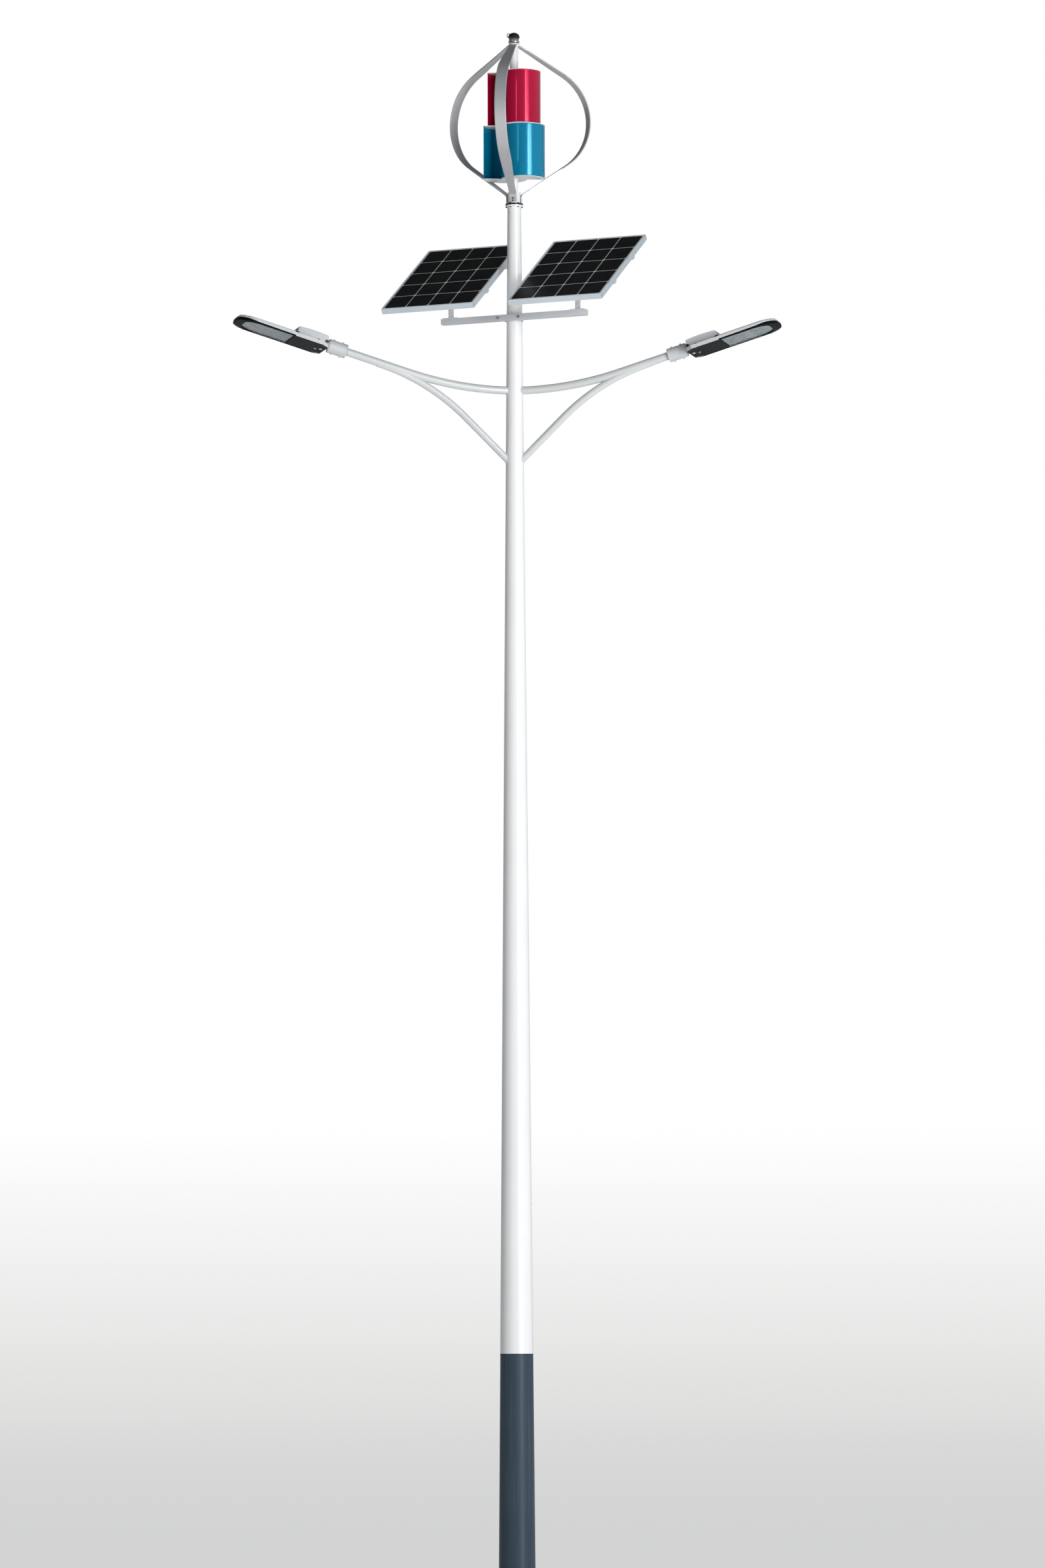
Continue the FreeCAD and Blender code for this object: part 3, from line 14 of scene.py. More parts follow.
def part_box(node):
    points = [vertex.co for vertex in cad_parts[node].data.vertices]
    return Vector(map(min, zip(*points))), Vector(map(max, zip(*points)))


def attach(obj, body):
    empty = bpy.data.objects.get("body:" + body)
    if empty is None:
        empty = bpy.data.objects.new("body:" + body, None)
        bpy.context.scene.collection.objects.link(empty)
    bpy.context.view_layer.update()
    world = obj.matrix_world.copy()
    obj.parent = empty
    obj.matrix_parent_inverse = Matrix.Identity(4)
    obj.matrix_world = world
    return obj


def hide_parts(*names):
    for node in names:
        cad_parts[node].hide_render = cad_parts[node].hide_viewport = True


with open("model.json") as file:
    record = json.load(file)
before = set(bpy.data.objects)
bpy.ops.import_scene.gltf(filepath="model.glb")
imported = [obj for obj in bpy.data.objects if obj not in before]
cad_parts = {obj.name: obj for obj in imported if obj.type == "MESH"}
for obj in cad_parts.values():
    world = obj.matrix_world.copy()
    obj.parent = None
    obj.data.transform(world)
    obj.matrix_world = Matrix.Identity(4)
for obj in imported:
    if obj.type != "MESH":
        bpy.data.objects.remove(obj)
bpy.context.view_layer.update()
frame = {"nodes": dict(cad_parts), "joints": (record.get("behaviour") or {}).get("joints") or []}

MM = 0.001
SIDES = ("right", "left")
log = logging.getLogger("street_lamp")

Colour = tuple[float, float, float]
Point = tuple[float, float]
Socket = bpy.types.NodeSocket
Mesh = bmesh.types.BMesh


class Slot(Enum):
    """Material slots of the record."""

    WHITE_PAINT = "white_paint"
    GREY_PAINT = "grey_paint"
    DARK_STEEL = "dark_steel"
    ZINC_STEEL = "zinc_steel"
    CAST_GREY = "cast_grey"
    BLACK_COVER = "black_cover"
    LENS = "lens"
    BRACKET_GREY = "bracket_grey"
    FRAME_ALUMINIUM = "frame_aluminium"
    SOLAR_CELLS = "solar_cells"
    RED_GLOSS = "red_gloss"
    BLUE_GLOSS = "blue_gloss"
    CAP_BLACK = "cap_black"


# ---------------------------------------------------------------- shader graphs
class Graph:
    """Short ways to add and link nodes in one node tree."""

    def __init__(self, tree: bpy.types.NodeTree) -> None:
        """Keeps the tree that nodes are added to."""
        self.tree = tree

    def add(self, kind: str, **values: object) -> bpy.types.Node:
        """Adds a node.

        Args:
            kind: The node's type name without its ShaderNode prefix.
            values: Properties to set, or inputs by name with underscores for spaces.

        Returns:
            The new node.
        """
        node = self.tree.nodes.new(kind if kind.startswith("Node") else "ShaderNode" + kind)
        for name, value in values.items():
            if hasattr(node, name):
                setattr(node, name, value)
            else:
                node.inputs[name.replace("_", " ")].default_value = value
        return node

    def link(self, source: Socket, target: Socket) -> None:
        """Joins two sockets."""
        self.tree.links.new(source, target)

    def put(self, value: object, target: Socket) -> None:
        """Feeds a socket.

        Args:
            value: A socket to link, a number or a colour.
            target: The socket that takes it.
        """
        if isinstance(value, Socket):
            self.link(value, target)
        else:
            target.default_value = value if isinstance(value, (int, float)) else (*value, 1.0)

    def math(self, operation: str, first: object, second: object = 0.0) -> Socket:
        """Adds a math node.

        Args:
            operation: The math node's operation.
            first: A socket or a number.
            second: A socket or a number.

        Returns:
            The node's output socket.
        """
        node = self.add("Math", operation=operation)
        self.put(first, node.inputs[0])
        self.put(second, node.inputs[1])
        return node.outputs[0]

    def mix(self, share: object, first: object, second: object) -> Socket:
        """Mixes two colours.

        Args:
            share: Socket or number, 0 for the first colour and 1 for the second.
            first: A colour or a colour socket.
            second: A colour or a colour socket.

        Returns:
            The mixed colour's socket.
        """
        node = self.add("Mix", data_type="RGBA")
        for index, value in ((0, share), (6, first), (7, second)):
            self.put(value, node.inputs[index])
        return node.outputs[2]

    def ramp(self, value: Socket, low: float, high: float, **more: object) -> Socket:
        """Maps a range of values to 0 to 1.

        Args:
            value: The socket that is mapped.
            low: The value that gives 0.
            high: The value that gives 1.
            more: Other settings of the node, such as the range it gives.

        Returns:
            The mapped value's socket.
        """
        node = self.add("MapRange", From_Min=low, From_Max=high, **more)
        self.link(value, node.inputs["Value"])
        return node.outputs[0]

    def noise(self, place: Socket, scale: object, detail: float, roughness: float) -> Socket:
        """Adds a noise texture.

        Args:
            place: The socket of its coordinates.
            scale: A socket or a number.
            detail: How many finer layers it has.
            roughness: How strong the finer layers are.

        Returns:
            The noise's value.
        """
        node = self.add("TexNoise", Detail=detail, Roughness=roughness)
        self.link(place, node.inputs["Vector"])
        self.put(scale, node.inputs["Scale"])
        return node.outputs["Fac"]


def new_group(name: str, inputs: dict[str, tuple[str, object]], outputs: dict[str, str]) -> tuple:
    """Starts a shader node group with named sockets.

    Args:
        name: The group's name.
        inputs: Socket name to its kind and default value.
        outputs: Socket name to its kind.

    Returns:
        The group's tree, its graph, its input node and its output node.
    """
    tree = bpy.data.node_groups.new(name, "ShaderNodeTree")
    for label, (kind, value) in inputs.items():
        socket = tree.interface.new_socket(label, in_out="INPUT", socket_type="NodeSocket" + kind)
        socket.default_value = value
    for label, kind in outputs.items():
        tree.interface.new_socket(label, in_out="OUTPUT", socket_type="NodeSocket" + kind)
    graph = Graph(tree)
    return tree, graph, graph.add("NodeGroupInput"), graph.add("NodeGroupOutput")


def grain_group() -> bpy.types.NodeTree:
    """Fine surface grain, such as orange peel, casting skin or brush lines.

    Returns:
        A group that puts out the grain's height and a slow blotch mask.
    """
    tree, graph, source, sink = new_group(
        "surface_grain",
        {"Scale": ("Float", 400.0), "Stretch": ("Vector", (1.0, 1.0, 1.0)),
         "Blotch Scale": ("Float", 3.0)},
        {"Height": "Float", "Blotch": "Float"})
    place = graph.add("TexCoord")
    stretched = graph.add("VectorMath", operation="MULTIPLY")
    graph.link(place.outputs["Object"], stretched.inputs[0])
    graph.link(source.outputs["Stretch"], stretched.inputs[1])
    fine = graph.noise(stretched.outputs[0], source.outputs["Scale"], 3.0, 0.6)
    slow = graph.noise(place.outputs["Object"], source.outputs["Blotch Scale"], 4.0, 0.55)
    graph.link(fine, sink.inputs["Height"])
    graph.link(slow, sink.inputs["Blotch"])
    return tree


def dust_group() -> bpy.types.NodeTree:
    """Dust that settles on faces that look up, broken up by noise.

    Returns:
        A group that puts out the dusted colour and the dust's mask.
    """
    tree, graph, source, sink = new_group(
        "settled_dust",
        {"Color": ("Color", (0.5, 0.5, 0.5, 1.0)), "Dust Color": ("Color", (0.55, 0.52, 0.47, 1.0)),
         "Amount": ("Float", 0.2), "Scale": ("Float", 14.0)},
        {"Color": "Color", "Mask": "Float"})
    shape = graph.add("NewGeometry")
    parts = graph.add("SeparateXYZ")
    graph.link(shape.outputs["Normal"], parts.inputs[0])
    upward = graph.ramp(parts.outputs["Z"], 0.35, 0.95)
    place = graph.add("TexCoord")
    cloud = graph.noise(place.outputs["Object"], source.outputs["Scale"], 5.0, 0.65)
    broken = graph.ramp(cloud, 0.35, 0.7)
    mask = graph.math("MULTIPLY", graph.math("MULTIPLY", upward, broken), source.outputs["Amount"])
    dusted = graph.mix(mask, source.outputs["Color"], source.outputs["Dust Color"])
    graph.link(dusted, sink.inputs["Color"])
    graph.link(mask, sink.inputs["Mask"])
    return tree


def streak_group() -> bpy.types.NodeTree:
    """Faint marks that rain leaves as it runs down upright faces.

    Returns:
        A group that puts out the streaked colour and the streaks' mask.
    """
    tree, graph, source, sink = new_group(
        "rain_streaks",
        {"Color": ("Color", (0.8, 0.8, 0.8, 1.0)), "Streak Color": ("Color",
                                                                    (0.4, 0.39, 0.36, 1.0)),
         "Amount": ("Float", 0.1)},
        {"Color": "Color", "Mask": "Float"})
    place = graph.add("TexCoord")
    long_cells = graph.add("VectorMath", operation="MULTIPLY")
    long_cells.inputs[1].default_value = (60.0, 60.0, 1.1)
    graph.link(place.outputs["Object"], long_cells.inputs[0])
    narrow = graph.ramp(graph.noise(long_cells.outputs[0], 1.0, 4.0, 0.7), 0.52, 0.78)
    mask = graph.math("MULTIPLY", narrow, source.outputs["Amount"])
    streaked = graph.mix(mask, source.outputs["Color"], source.outputs["Streak Color"])
    graph.link(streaked, sink.inputs["Color"])
    graph.link(mask, sink.inputs["Mask"])
    return tree


GROUPS = {"grain": grain_group(), "dust": dust_group(), "streaks": streak_group()}


# ---------------------------------------------------------------- finishes
@dataclass(frozen=True)
class Finish:
    """A painted, cast, moulded or metal surface with its own grain, blotches and dust; on the lens
    the light blotches are painted sheen.
    """

    name: str
    colour: Colour
    second: Colour
    roughness: float
    metallic: float = 0.0
    coat: float = 0.0
    coat_roughness: float = 0.08
    specular: float = 0.5
    grain_scale: float = 500.0
    grain_stretch: tuple[float, float, float] = (1.0, 1.0, 1.0)
    grain_height: float = 0.1
    rough_spread: float = 0.08
    blotch_scale: float = 3.0
    dust: float = 0.1
    streaks: float = 0.0

    def make(self) -> bpy.types.Material:
        """Builds the material.

        Returns:
            The finished material.
        """
        material = bpy.data.materials.new(self.name)
        material.use_nodes = True
        graph = Graph(material.node_tree)
        shader = material.node_tree.nodes["Principled BSDF"]
        grain = graph.add("Group", node_tree=GROUPS["grain"])
        grain.inputs["Scale"].default_value = self.grain_scale
        grain.inputs["Stretch"].default_value = self.grain_stretch
        grain.inputs["Blotch Scale"].default_value = self.blotch_scale
        soft = graph.ramp(grain.outputs["Blotch"], 0.3, 0.7)
        colour = self.pattern(graph, graph.mix(soft, self.colour, self.second))
        if self.streaks:
            streaks = graph.add("Group", node_tree=GROUPS["streaks"], Amount=self.streaks)
            graph.link(colour, streaks.inputs["Color"])
            colour = streaks.outputs["Color"]
        dust = graph.add("Group", node_tree=GROUPS["dust"], Amount=self.dust)
        graph.link(colour, dust.inputs["Color"])
        graph.link(dust.outputs["Color"], shader.inputs["Base Color"])
        uneven = graph.math("SUBTRACT", grain.outputs["Blotch"], 0.5)
        spread = graph.math("MULTIPLY", uneven, self.rough_spread * 2)
        dusted = graph.math("ADD", graph.math("ADD", spread, self.roughness),
                            graph.math("MULTIPLY", dust.outputs["Mask"], 0.5))
        graph.link(dusted, shader.inputs["Roughness"])
        bump = graph.add("Bump", Strength=self.grain_height, Distance=0.0006)
        graph.link(grain.outputs["Height"], bump.inputs["Height"])
        graph.link(bump.outputs[0], shader.inputs["Normal"])
        for label, value in (("Metallic", self.metallic), ("Coat Weight", self.coat),
                             ("Coat Roughness", self.coat_roughness),
                             ("Specular IOR Level", self.specular)):
            shader.inputs[label].default_value = value
        return material

    def pattern(self, graph: Graph, colour: Socket) -> Socket:
        """Adds a pattern of the finish's own; plain finishes have none."""
        return colour


@dataclass(frozen=True)
class CellFinish(Finish):
    """Black solar cells with hair-thin contact fingers across each cell."""

    across: tuple[float, float, float] = (1.0, 0.0, 0.0)
    finger_pitch: float = 2.2 * MM
    bar_pitch: float = 36.0 * MM
    finger_colour: Colour = (0.018, 0.022, 0.027)

    def pattern(self, graph: Graph, colour: Socket) -> Socket:
        """Lays fingers and wider collector bars over the cells.

        Args:
            graph: The material's graph.
            colour: The cells' own colour.

        Returns:
            The patterned colour.
        """
        place = graph.add("TexCoord")
        for pitch, width, share in ((self.finger_pitch, 0.12, 0.25), (self.bar_pitch, 0.03, 0.8)):
            along = graph.add("VectorMath", operation="DOT_PRODUCT")
            graph.link(place.outputs["Object"], along.inputs[0])
            along.inputs[1].default_value = self.across
            phase = graph.math("FRACT", graph.math("DIVIDE", along.outputs["Value"], pitch))
            line = graph.math("LESS_THAN", phase, width)
            colour = graph.mix(graph.math("MULTIPLY", line, share), colour, self.finger_colour)
        return colour


FINISHES = {
    "white": Finish("white_powder_coat", (0.86, 0.87, 0.88), (0.82, 0.83, 0.845), 0.3, coat=0.25,
                    grain_scale=260.0, grain_height=0.06, dust=0.12, streaks=0.05),
    # A darker copy of the white powder coat for the arms and their weld beads: painted shade, since
    # the arms wear the same white paint as the pole.
    "arm_white_painted_shade": Finish("arm_powder_coat_painted_shade", (0.62, 0.635, 0.645), (0.57, 0.585, 0.595), 0.3,
                        coat=0.3,
                        grain_scale=260.0, grain_height=0.03, dust=0.08, streaks=0.04),
    "slate": Finish("slate_powder_coat", (0.030, 0.051, 0.074), (0.036, 0.060, 0.085), 0.46,
                    coat=0.05,
                    coat_roughness=0.3, specular=0.22, grain_scale=320.0, grain_height=0.09,
                    dust=0.2, streaks=0.1),
    "bracket": Finish("bracket_paint", (0.53, 0.55, 0.58), (0.48, 0.50, 0.53), 0.36,
                      grain_scale=300.0,
                      grain_height=0.08, dust=0.15, streaks=0.06),
    "casting": Finish("painted_casting", (0.56, 0.575, 0.59), (0.51, 0.525, 0.54), 0.42,
                      grain_scale=700.0,
                      grain_height=0.22, dust=0.2, streaks=0.05),
    "black": Finish("black_moulding", (0.0025, 0.004, 0.005), (0.004, 0.006, 0.0075), 0.5,
                    specular=0.03,
                    grain_scale=900.0, grain_height=0.12, dust=0.08),
    # The lens's own dark grey-blue, mixed in blotches with a far lighter grey-blue that paints
    # patchy sheen onto the lens.
    "lens": Finish("ribbed_lens", (0.11, 0.15, 0.165), (0.30, 0.345, 0.36), 0.3, specular=0.15,
                   grain_scale=60.0, grain_height=0.03, blotch_scale=26.0, dust=0.03),
    "aluminium": Finish("anodised_frame", (0.70, 0.77, 0.83), (0.62, 0.70, 0.77), 0.34,
                        metallic=0.55,
                        grain_scale=500.0, grain_height=0.05, dust=0.1),
    "backsheet": Finish("white_backsheet", (0.88, 0.87, 0.83), (0.82, 0.81, 0.77), 0.4, coat=0.2,
                        grain_height=0.02, dust=0.1),
    "blade": Finish("satin_blade", (0.50, 0.51, 0.53), (0.45, 0.46, 0.48), 0.36, metallic=0.3,
                    grain_scale=300.0, grain_stretch=(1.0, 1.0, 0.04), grain_height=0.03,
                    dust=0.05),
    "red": Finish("red_lacquer", (0.60, 0.0, 0.055), (0.53, 0.0, 0.047), 0.16, metallic=0.4,
                  coat=0.6, specular=0.4,
                  coat_roughness=0.05, grain_scale=160.0, grain_height=0.004, rough_spread=0.03,
                  dust=0.03),
    "blue": Finish("blue_lacquer", (0.0, 0.27, 0.46), (0.0, 0.24, 0.42), 0.2, metallic=0.3,
                   coat=0.4, specular=0.35,
                   coat_roughness=0.07, grain_scale=160.0, grain_height=0.004, rough_spread=0.03,
                   dust=0.03),
    "plate": Finish("white_stage_paint", (0.80, 0.81, 0.82), (0.72, 0.73, 0.745), 0.34,
                    grain_scale=300.0,
                    grain_height=0.08, dust=0.2),
    "zinc": Finish("zinc_plating", (0.60, 0.61, 0.63), (0.48, 0.49, 0.50), 0.26, metallic=1.0,
                   grain_scale=600.0, grain_height=0.15, blotch_scale=60.0, dust=0.1),
    "dark_steel": Finish("blackened_steel", (0.022, 0.023, 0.026), (0.045, 0.042, 0.04), 0.3,
                         metallic=0.7,
                         grain_scale=600.0, grain_height=0.2, blotch_scale=80.0, dust=0.15),
    "galvanised": Finish("galvanised_steel", (0.42, 0.44, 0.46), (0.30, 0.32, 0.34), 0.4,
                         metallic=0.9,
                         grain_scale=90.0, grain_height=0.2, blotch_scale=45.0, dust=0.2),
    "copper": Finish("copper_windings", (0.50, 0.20, 0.08), (0.38, 0.14, 0.05), 0.35, metallic=1.0,
                     grain_scale=500.0, grain_stretch=(1.0, 1.0, 6.0), grain_height=0.6),
    "board": Finish("circuit_board", (0.72, 0.73, 0.70), (0.64, 0.65, 0.62), 0.4,
                    blotch_scale=80.0),
    "potting": Finish("potted_electronics", (0.05, 0.055, 0.06), (0.035, 0.04, 0.045), 0.5,
                      grain_height=0.3),
    "battery": Finish("battery_sleeve", (0.02, 0.06, 0.16), (0.015, 0.05, 0.13), 0.3, coat=0.3,
                      grain_scale=120.0, grain_height=0.3),
    "rubber": Finish("cable_sheath", (0.012, 0.012, 0.013), (0.018, 0.018, 0.018), 0.55,
                     grain_height=0.3),
}


# ---------------------------------------------------------------- mesh helpers
def basis(origin: Vector, x_axis: Vector, y_axis: Vector, z_axis: Vector) -> Matrix:
    """A frame from its origin and axes.

    Args:
        origin: Where the frame stands.
        x_axis: Its first axis.
        y_axis: Its second axis.
        z_axis: Its third axis.

    Returns:
        The matrix from the frame to the object's own frame.
    """
    rotation = Matrix((x_axis, y_axis, z_axis)).transposed().to_4x4()
    return Matrix.Translation(origin) @ rotation


def turned(degrees: float, axis: str = "Z") -> Matrix:
    """A rotation about one axis, in degrees."""
    return Matrix.Rotation(math.radians(degrees), 4, axis)


def moved(x: float, y: float, z: float) -> Matrix:
    """A shift along the three axes."""
    return Matrix.Translation((x, y, z))


def mm(*points: Point) -> list[Point]:
    """Turns points given in millimetres into metres."""
    return [(first * MM, second * MM) for first, second in points]


def bridge(mesh: Mesh, first: Sequence, second: Sequence, loop: bool = True) -> None:
    """Adds a band of faces between two rows of vertices.

    Args:
        mesh: The mesh that takes the faces.
        first: One row.
        second: The other row, as long as the first.
        loop: Whether the band closes on itself.
    """
    count = len(first)
    for index in range(count if loop else count - 1):
        following = (index + 1) % count
        mesh.faces.new((first[index], first[following], second[following], second[index]))


def merge(target: Mesh, part: Mesh, place: Matrix = Matrix.Identity(4)) -> None:
    """Adds one mesh to another and frees it.

    Args:
        target: The mesh that grows.
        part: The mesh that is added.
        place: Where the added mesh goes.
    """
    part.transform(place)
    spare = bpy.data.meshes.new("spare")
    part.to_mesh(spare)
    target.from_mesh(spare)
    bpy.data.meshes.remove(spare)
    part.free()


def soften(mesh: Mesh, width: float, segments: int = 2, angle: float = 30.0) -> None:
    """Rounds every edge that is sharper than an angle.

    Args:
        mesh: The mesh to soften.
        width: Width of the rounding in metres.
        segments: Steps across it.
        angle: Smallest angle that is rounded, in degrees.
    """
    bmesh.ops.recalc_face_normals(mesh, faces=mesh.faces)
    sharp = [edge for edge in mesh.edges
             if len(edge.link_faces) == 2 and edge.calc_face_angle(0.0) > math.radians(angle)]
    bmesh.ops.bevel(mesh, geom=sharp, offset=width, segments=segments, profile=0.6, affect="EDGES",
                    clamp_overlap=True)


def prism(outline: Sequence[Point], low: float, high: float, edge: float = 0.0) -> Mesh:
    """A straight prism over an outline.

    Args:
        outline: Corners in the XY plane, in order.
        low: Height of its lower face.
        high: Height of its upper face.
        edge: Rounding of its sharp edges.

    Returns:
        The closed mesh.
    """
    mesh = bmesh.new()
    lower = [mesh.verts.new((x, y, low)) for x, y in outline]
    upper = [mesh.verts.new((x, y, high)) for x, y in outline]
    mesh.faces.new(list(reversed(lower)))
    mesh.faces.new(upper)
    bridge(mesh, lower, upper)
    if edge:
        soften(mesh, edge)
    return mesh


def block(size: tuple[float, float, float], centre: tuple[float, float, float],
          edge: float) -> Mesh:
    """A box with rounded edges.

    Args:
        size: Its three sides.
        centre: Its middle.
        edge: Rounding of its edges.

    Returns:
        The closed mesh.
    """
    half_x, half_y = size[0] / 2, size[1] / 2
    x, y, z = centre
    corners = [(x - half_x, y - half_y), (x + half_x, y - half_y), (x + half_x, y + half_y),
               (x - half_x, y + half_y)]
    return prism(corners, z - size[2] / 2, z + size[2] / 2, edge)


def lathe(profile: Sequence[Point], segments: int = 48, closed: bool = False) -> Mesh:
    """A turned shape about the Z axis.

    Args:
        profile: Radius and height of each point, in order.
        segments: Steps round the axis.
        closed: Whether the last point joins the first, as for a ring.

    Returns:
        The mesh, with its ends capped where the radius isn't zero.
    """
    mesh = bmesh.new()
    rings = []
    for radius, height in profile:
        ring = []
        for step in range(segments):
            angle = math.tau * step / segments
            ring.append(mesh.verts.new((radius * math.cos(angle), radius * math.sin(angle),
                                        height)))
        rings.append(ring)
    pairs = list(zip(rings, rings[1:] + rings[:1])) if closed else list(zip(rings, rings[1:]))
    for lower, upper in pairs:
        bridge(mesh, lower, upper)
    if not closed:
        mesh.faces.new(list(reversed(rings[0])))
        mesh.faces.new(rings[-1])
    bmesh.ops.remove_doubles(mesh, verts=mesh.verts, dist=1e-7)
    bmesh.ops.recalc_face_normals(mesh, faces=mesh.faces)
    return mesh


def sweep(path: Sequence[Vector], radius: float | Sequence[float], sides: int = 10,
          loop: bool = False) -> Mesh:
    """A round rod along a path.

    Args:
        path: Points of its centre line.
        radius: Its radius, or one radius for each point.
        sides: Steps round the rod.
        loop: Whether the path closes on itself.

    Returns:
        The closed mesh.
    """
    mesh = bmesh.new()
    count = len(path)
    radii = [radius] * count if isinstance(radius, (int, float)) else list(radius)
    rings = []
    side = None
    for index, point in enumerate(path):
        before = path[(index - 1) % count] if loop or index else point
        after = path[(index + 1) % count] if loop or index < count - 1 else point
        ahead = (after - before).normalized()
        side = ahead.orthogonal() if side is None else side - ahead * side.dot(ahead)
        side.normalize()
        other = ahead.cross(side)
        ring = []
        for step in range(sides):
            angle = math.tau * step / sides
            outward = side * math.cos(angle) + other * math.sin(angle)
            ring.append(mesh.verts.new(point + outward * radii[index]))
        rings.append(ring)
    for first, second in zip(rings, rings[1:]):
        bridge(mesh, first, second)
    if loop:
        first, second = rings[-1], rings[0]
        shift = min(range(sides), key=lambda offset: (first[0].co - second[offset].co).length)
        for step in range(sides):
            a, b = (step + shift) % sides, (step + 1 + shift) % sides
            mesh.faces.new((first[step], first[(step + 1) % sides], second[b], second[a]))
    else:
        mesh.faces.new(list(reversed(rings[0])))
        mesh.faces.new(rings[-1])
    bmesh.ops.recalc_face_normals(mesh, faces=mesh.faces)
    return mesh


def hex_nut(across: float, height: float) -> Mesh:
    """A hexagonal bolt head or nut with chamfered corners, standing on the XY plane.

    Args:
        across: Size across its flats.
        height: Its height.

    Returns:
        The mesh.
    """
    corner = across / math.sqrt(3)
    outline = [(corner * math.cos(math.tau * step / 6),
                corner * math.sin(math.tau * step / 6)) for step in range(6)]
    mesh = prism(outline, 0.0, height, across * 0.05)
    merge(mesh, lathe([(corner * 1.12, -height * 0.02), (corner * 1.12, height * 0.16),
                       (corner * 0.9, height * 0.2)], 28))
    return mesh


def weld_bead(path: Sequence[Vector], size: float, loop: bool = True) -> Mesh:
    """A weld bead with even ripples along a seam.

    Args:
        path: Points along the seam.
        size: Mean radius of the bead.
        loop: Whether the seam closes on itself.

    Returns:
        The closed mesh.
    """
    radii = [size * (1.0 + 0.16 * math.cos(math.pi * index)) for index in range(len(path))]
    return sweep(path, radii, 8, loop)


def piece(mesh: Mesh, name: str, body: str, finish: str,
          place: Matrix = Matrix.Identity(4),
          smooth: float = 35.0) -> bpy.types.Object:
    """Turns a mesh into a finished piece that rides on a body.

    Args:
        mesh: The piece's mesh, freed here.
        name: Its name.
        body: The body it moves with.
        finish: Key of its finish.
        place: Where the mesh goes.
        smooth: Edges sharper than this many degrees stay sharp.

    Returns:
        The new object.
    """
    mesh.transform(place)
    data = bpy.data.meshes.new(name)
    mesh.to_mesh(data)
    mesh.free()
    for polygon in data.polygons:
        polygon.use_smooth = True
    data.set_sharp_from_angle(angle=math.radians(smooth))
    item = bpy.data.objects.new(name, data)
    bpy.context.scene.collection.objects.link(item)
    data.materials.append(MATERIALS[finish])
    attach(item, body)
    log.info("%s: %d faces on %s", name, len(data.polygons), body)
    return item


def carve(item: bpy.types.Object, cutter: Mesh) -> None:
    """Cuts a shape out of a piece.

    Args:
        item: The piece.
        cutter: The shape to take away, in the object's frame, freed here.
    """
    data = bpy.data.meshes.new("cutter")
    bmesh.ops.recalc_face_normals(cutter, faces=cutter.faces)
    cutter.to_mesh(data)
    cutter.free()
    tool = bpy.data.objects.new("cutter", data)
    bpy.context.scene.collection.objects.link(tool)
    change = item.modifiers.new("cut", "BOOLEAN")
    change.operation = "DIFFERENCE"
    change.solver = "EXACT"
    change.object = tool
    bpy.context.view_layer.update()
    graph = bpy.context.evaluated_depsgraph_get()
    done = bpy.data.meshes.new_from_object(item.evaluated_get(graph))
    item.modifiers.clear()
    old = item.data
    item.data = done
    bpy.data.meshes.remove(old)
    bpy.data.objects.remove(tool)
    bpy.data.meshes.remove(data)
    item.data.set_sharp_from_angle(angle=math.radians(35.0))


def dress(node: str, finish: str) -> None:
    """Gives a CAD node its finish.

    Args:
        node: The node's name.
        finish: Key of its finish.
    """
    item = frame["nodes"][node]
    if not item.material_slots:
        item.data.materials.append(MATERIALS[finish])
    for slot in item.material_slots:
        slot.material = MATERIALS[finish]


def dress_all(finishes: dict[str, str], prefix: str = "") -> None:
    """Gives several CAD nodes their finishes.

    Args:
        finishes: Node name to the key of its finish.
        prefix: What each node's name starts with.
    """
    for node, finish in finishes.items():
        dress(prefix + node, finish)


def joint(name: str) -> dict:
    """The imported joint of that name."""
    return next(item for item in frame["joints"] if item["name"] == name)


MATERIALS = {key: finish.make() for key, finish in FINISHES.items()}


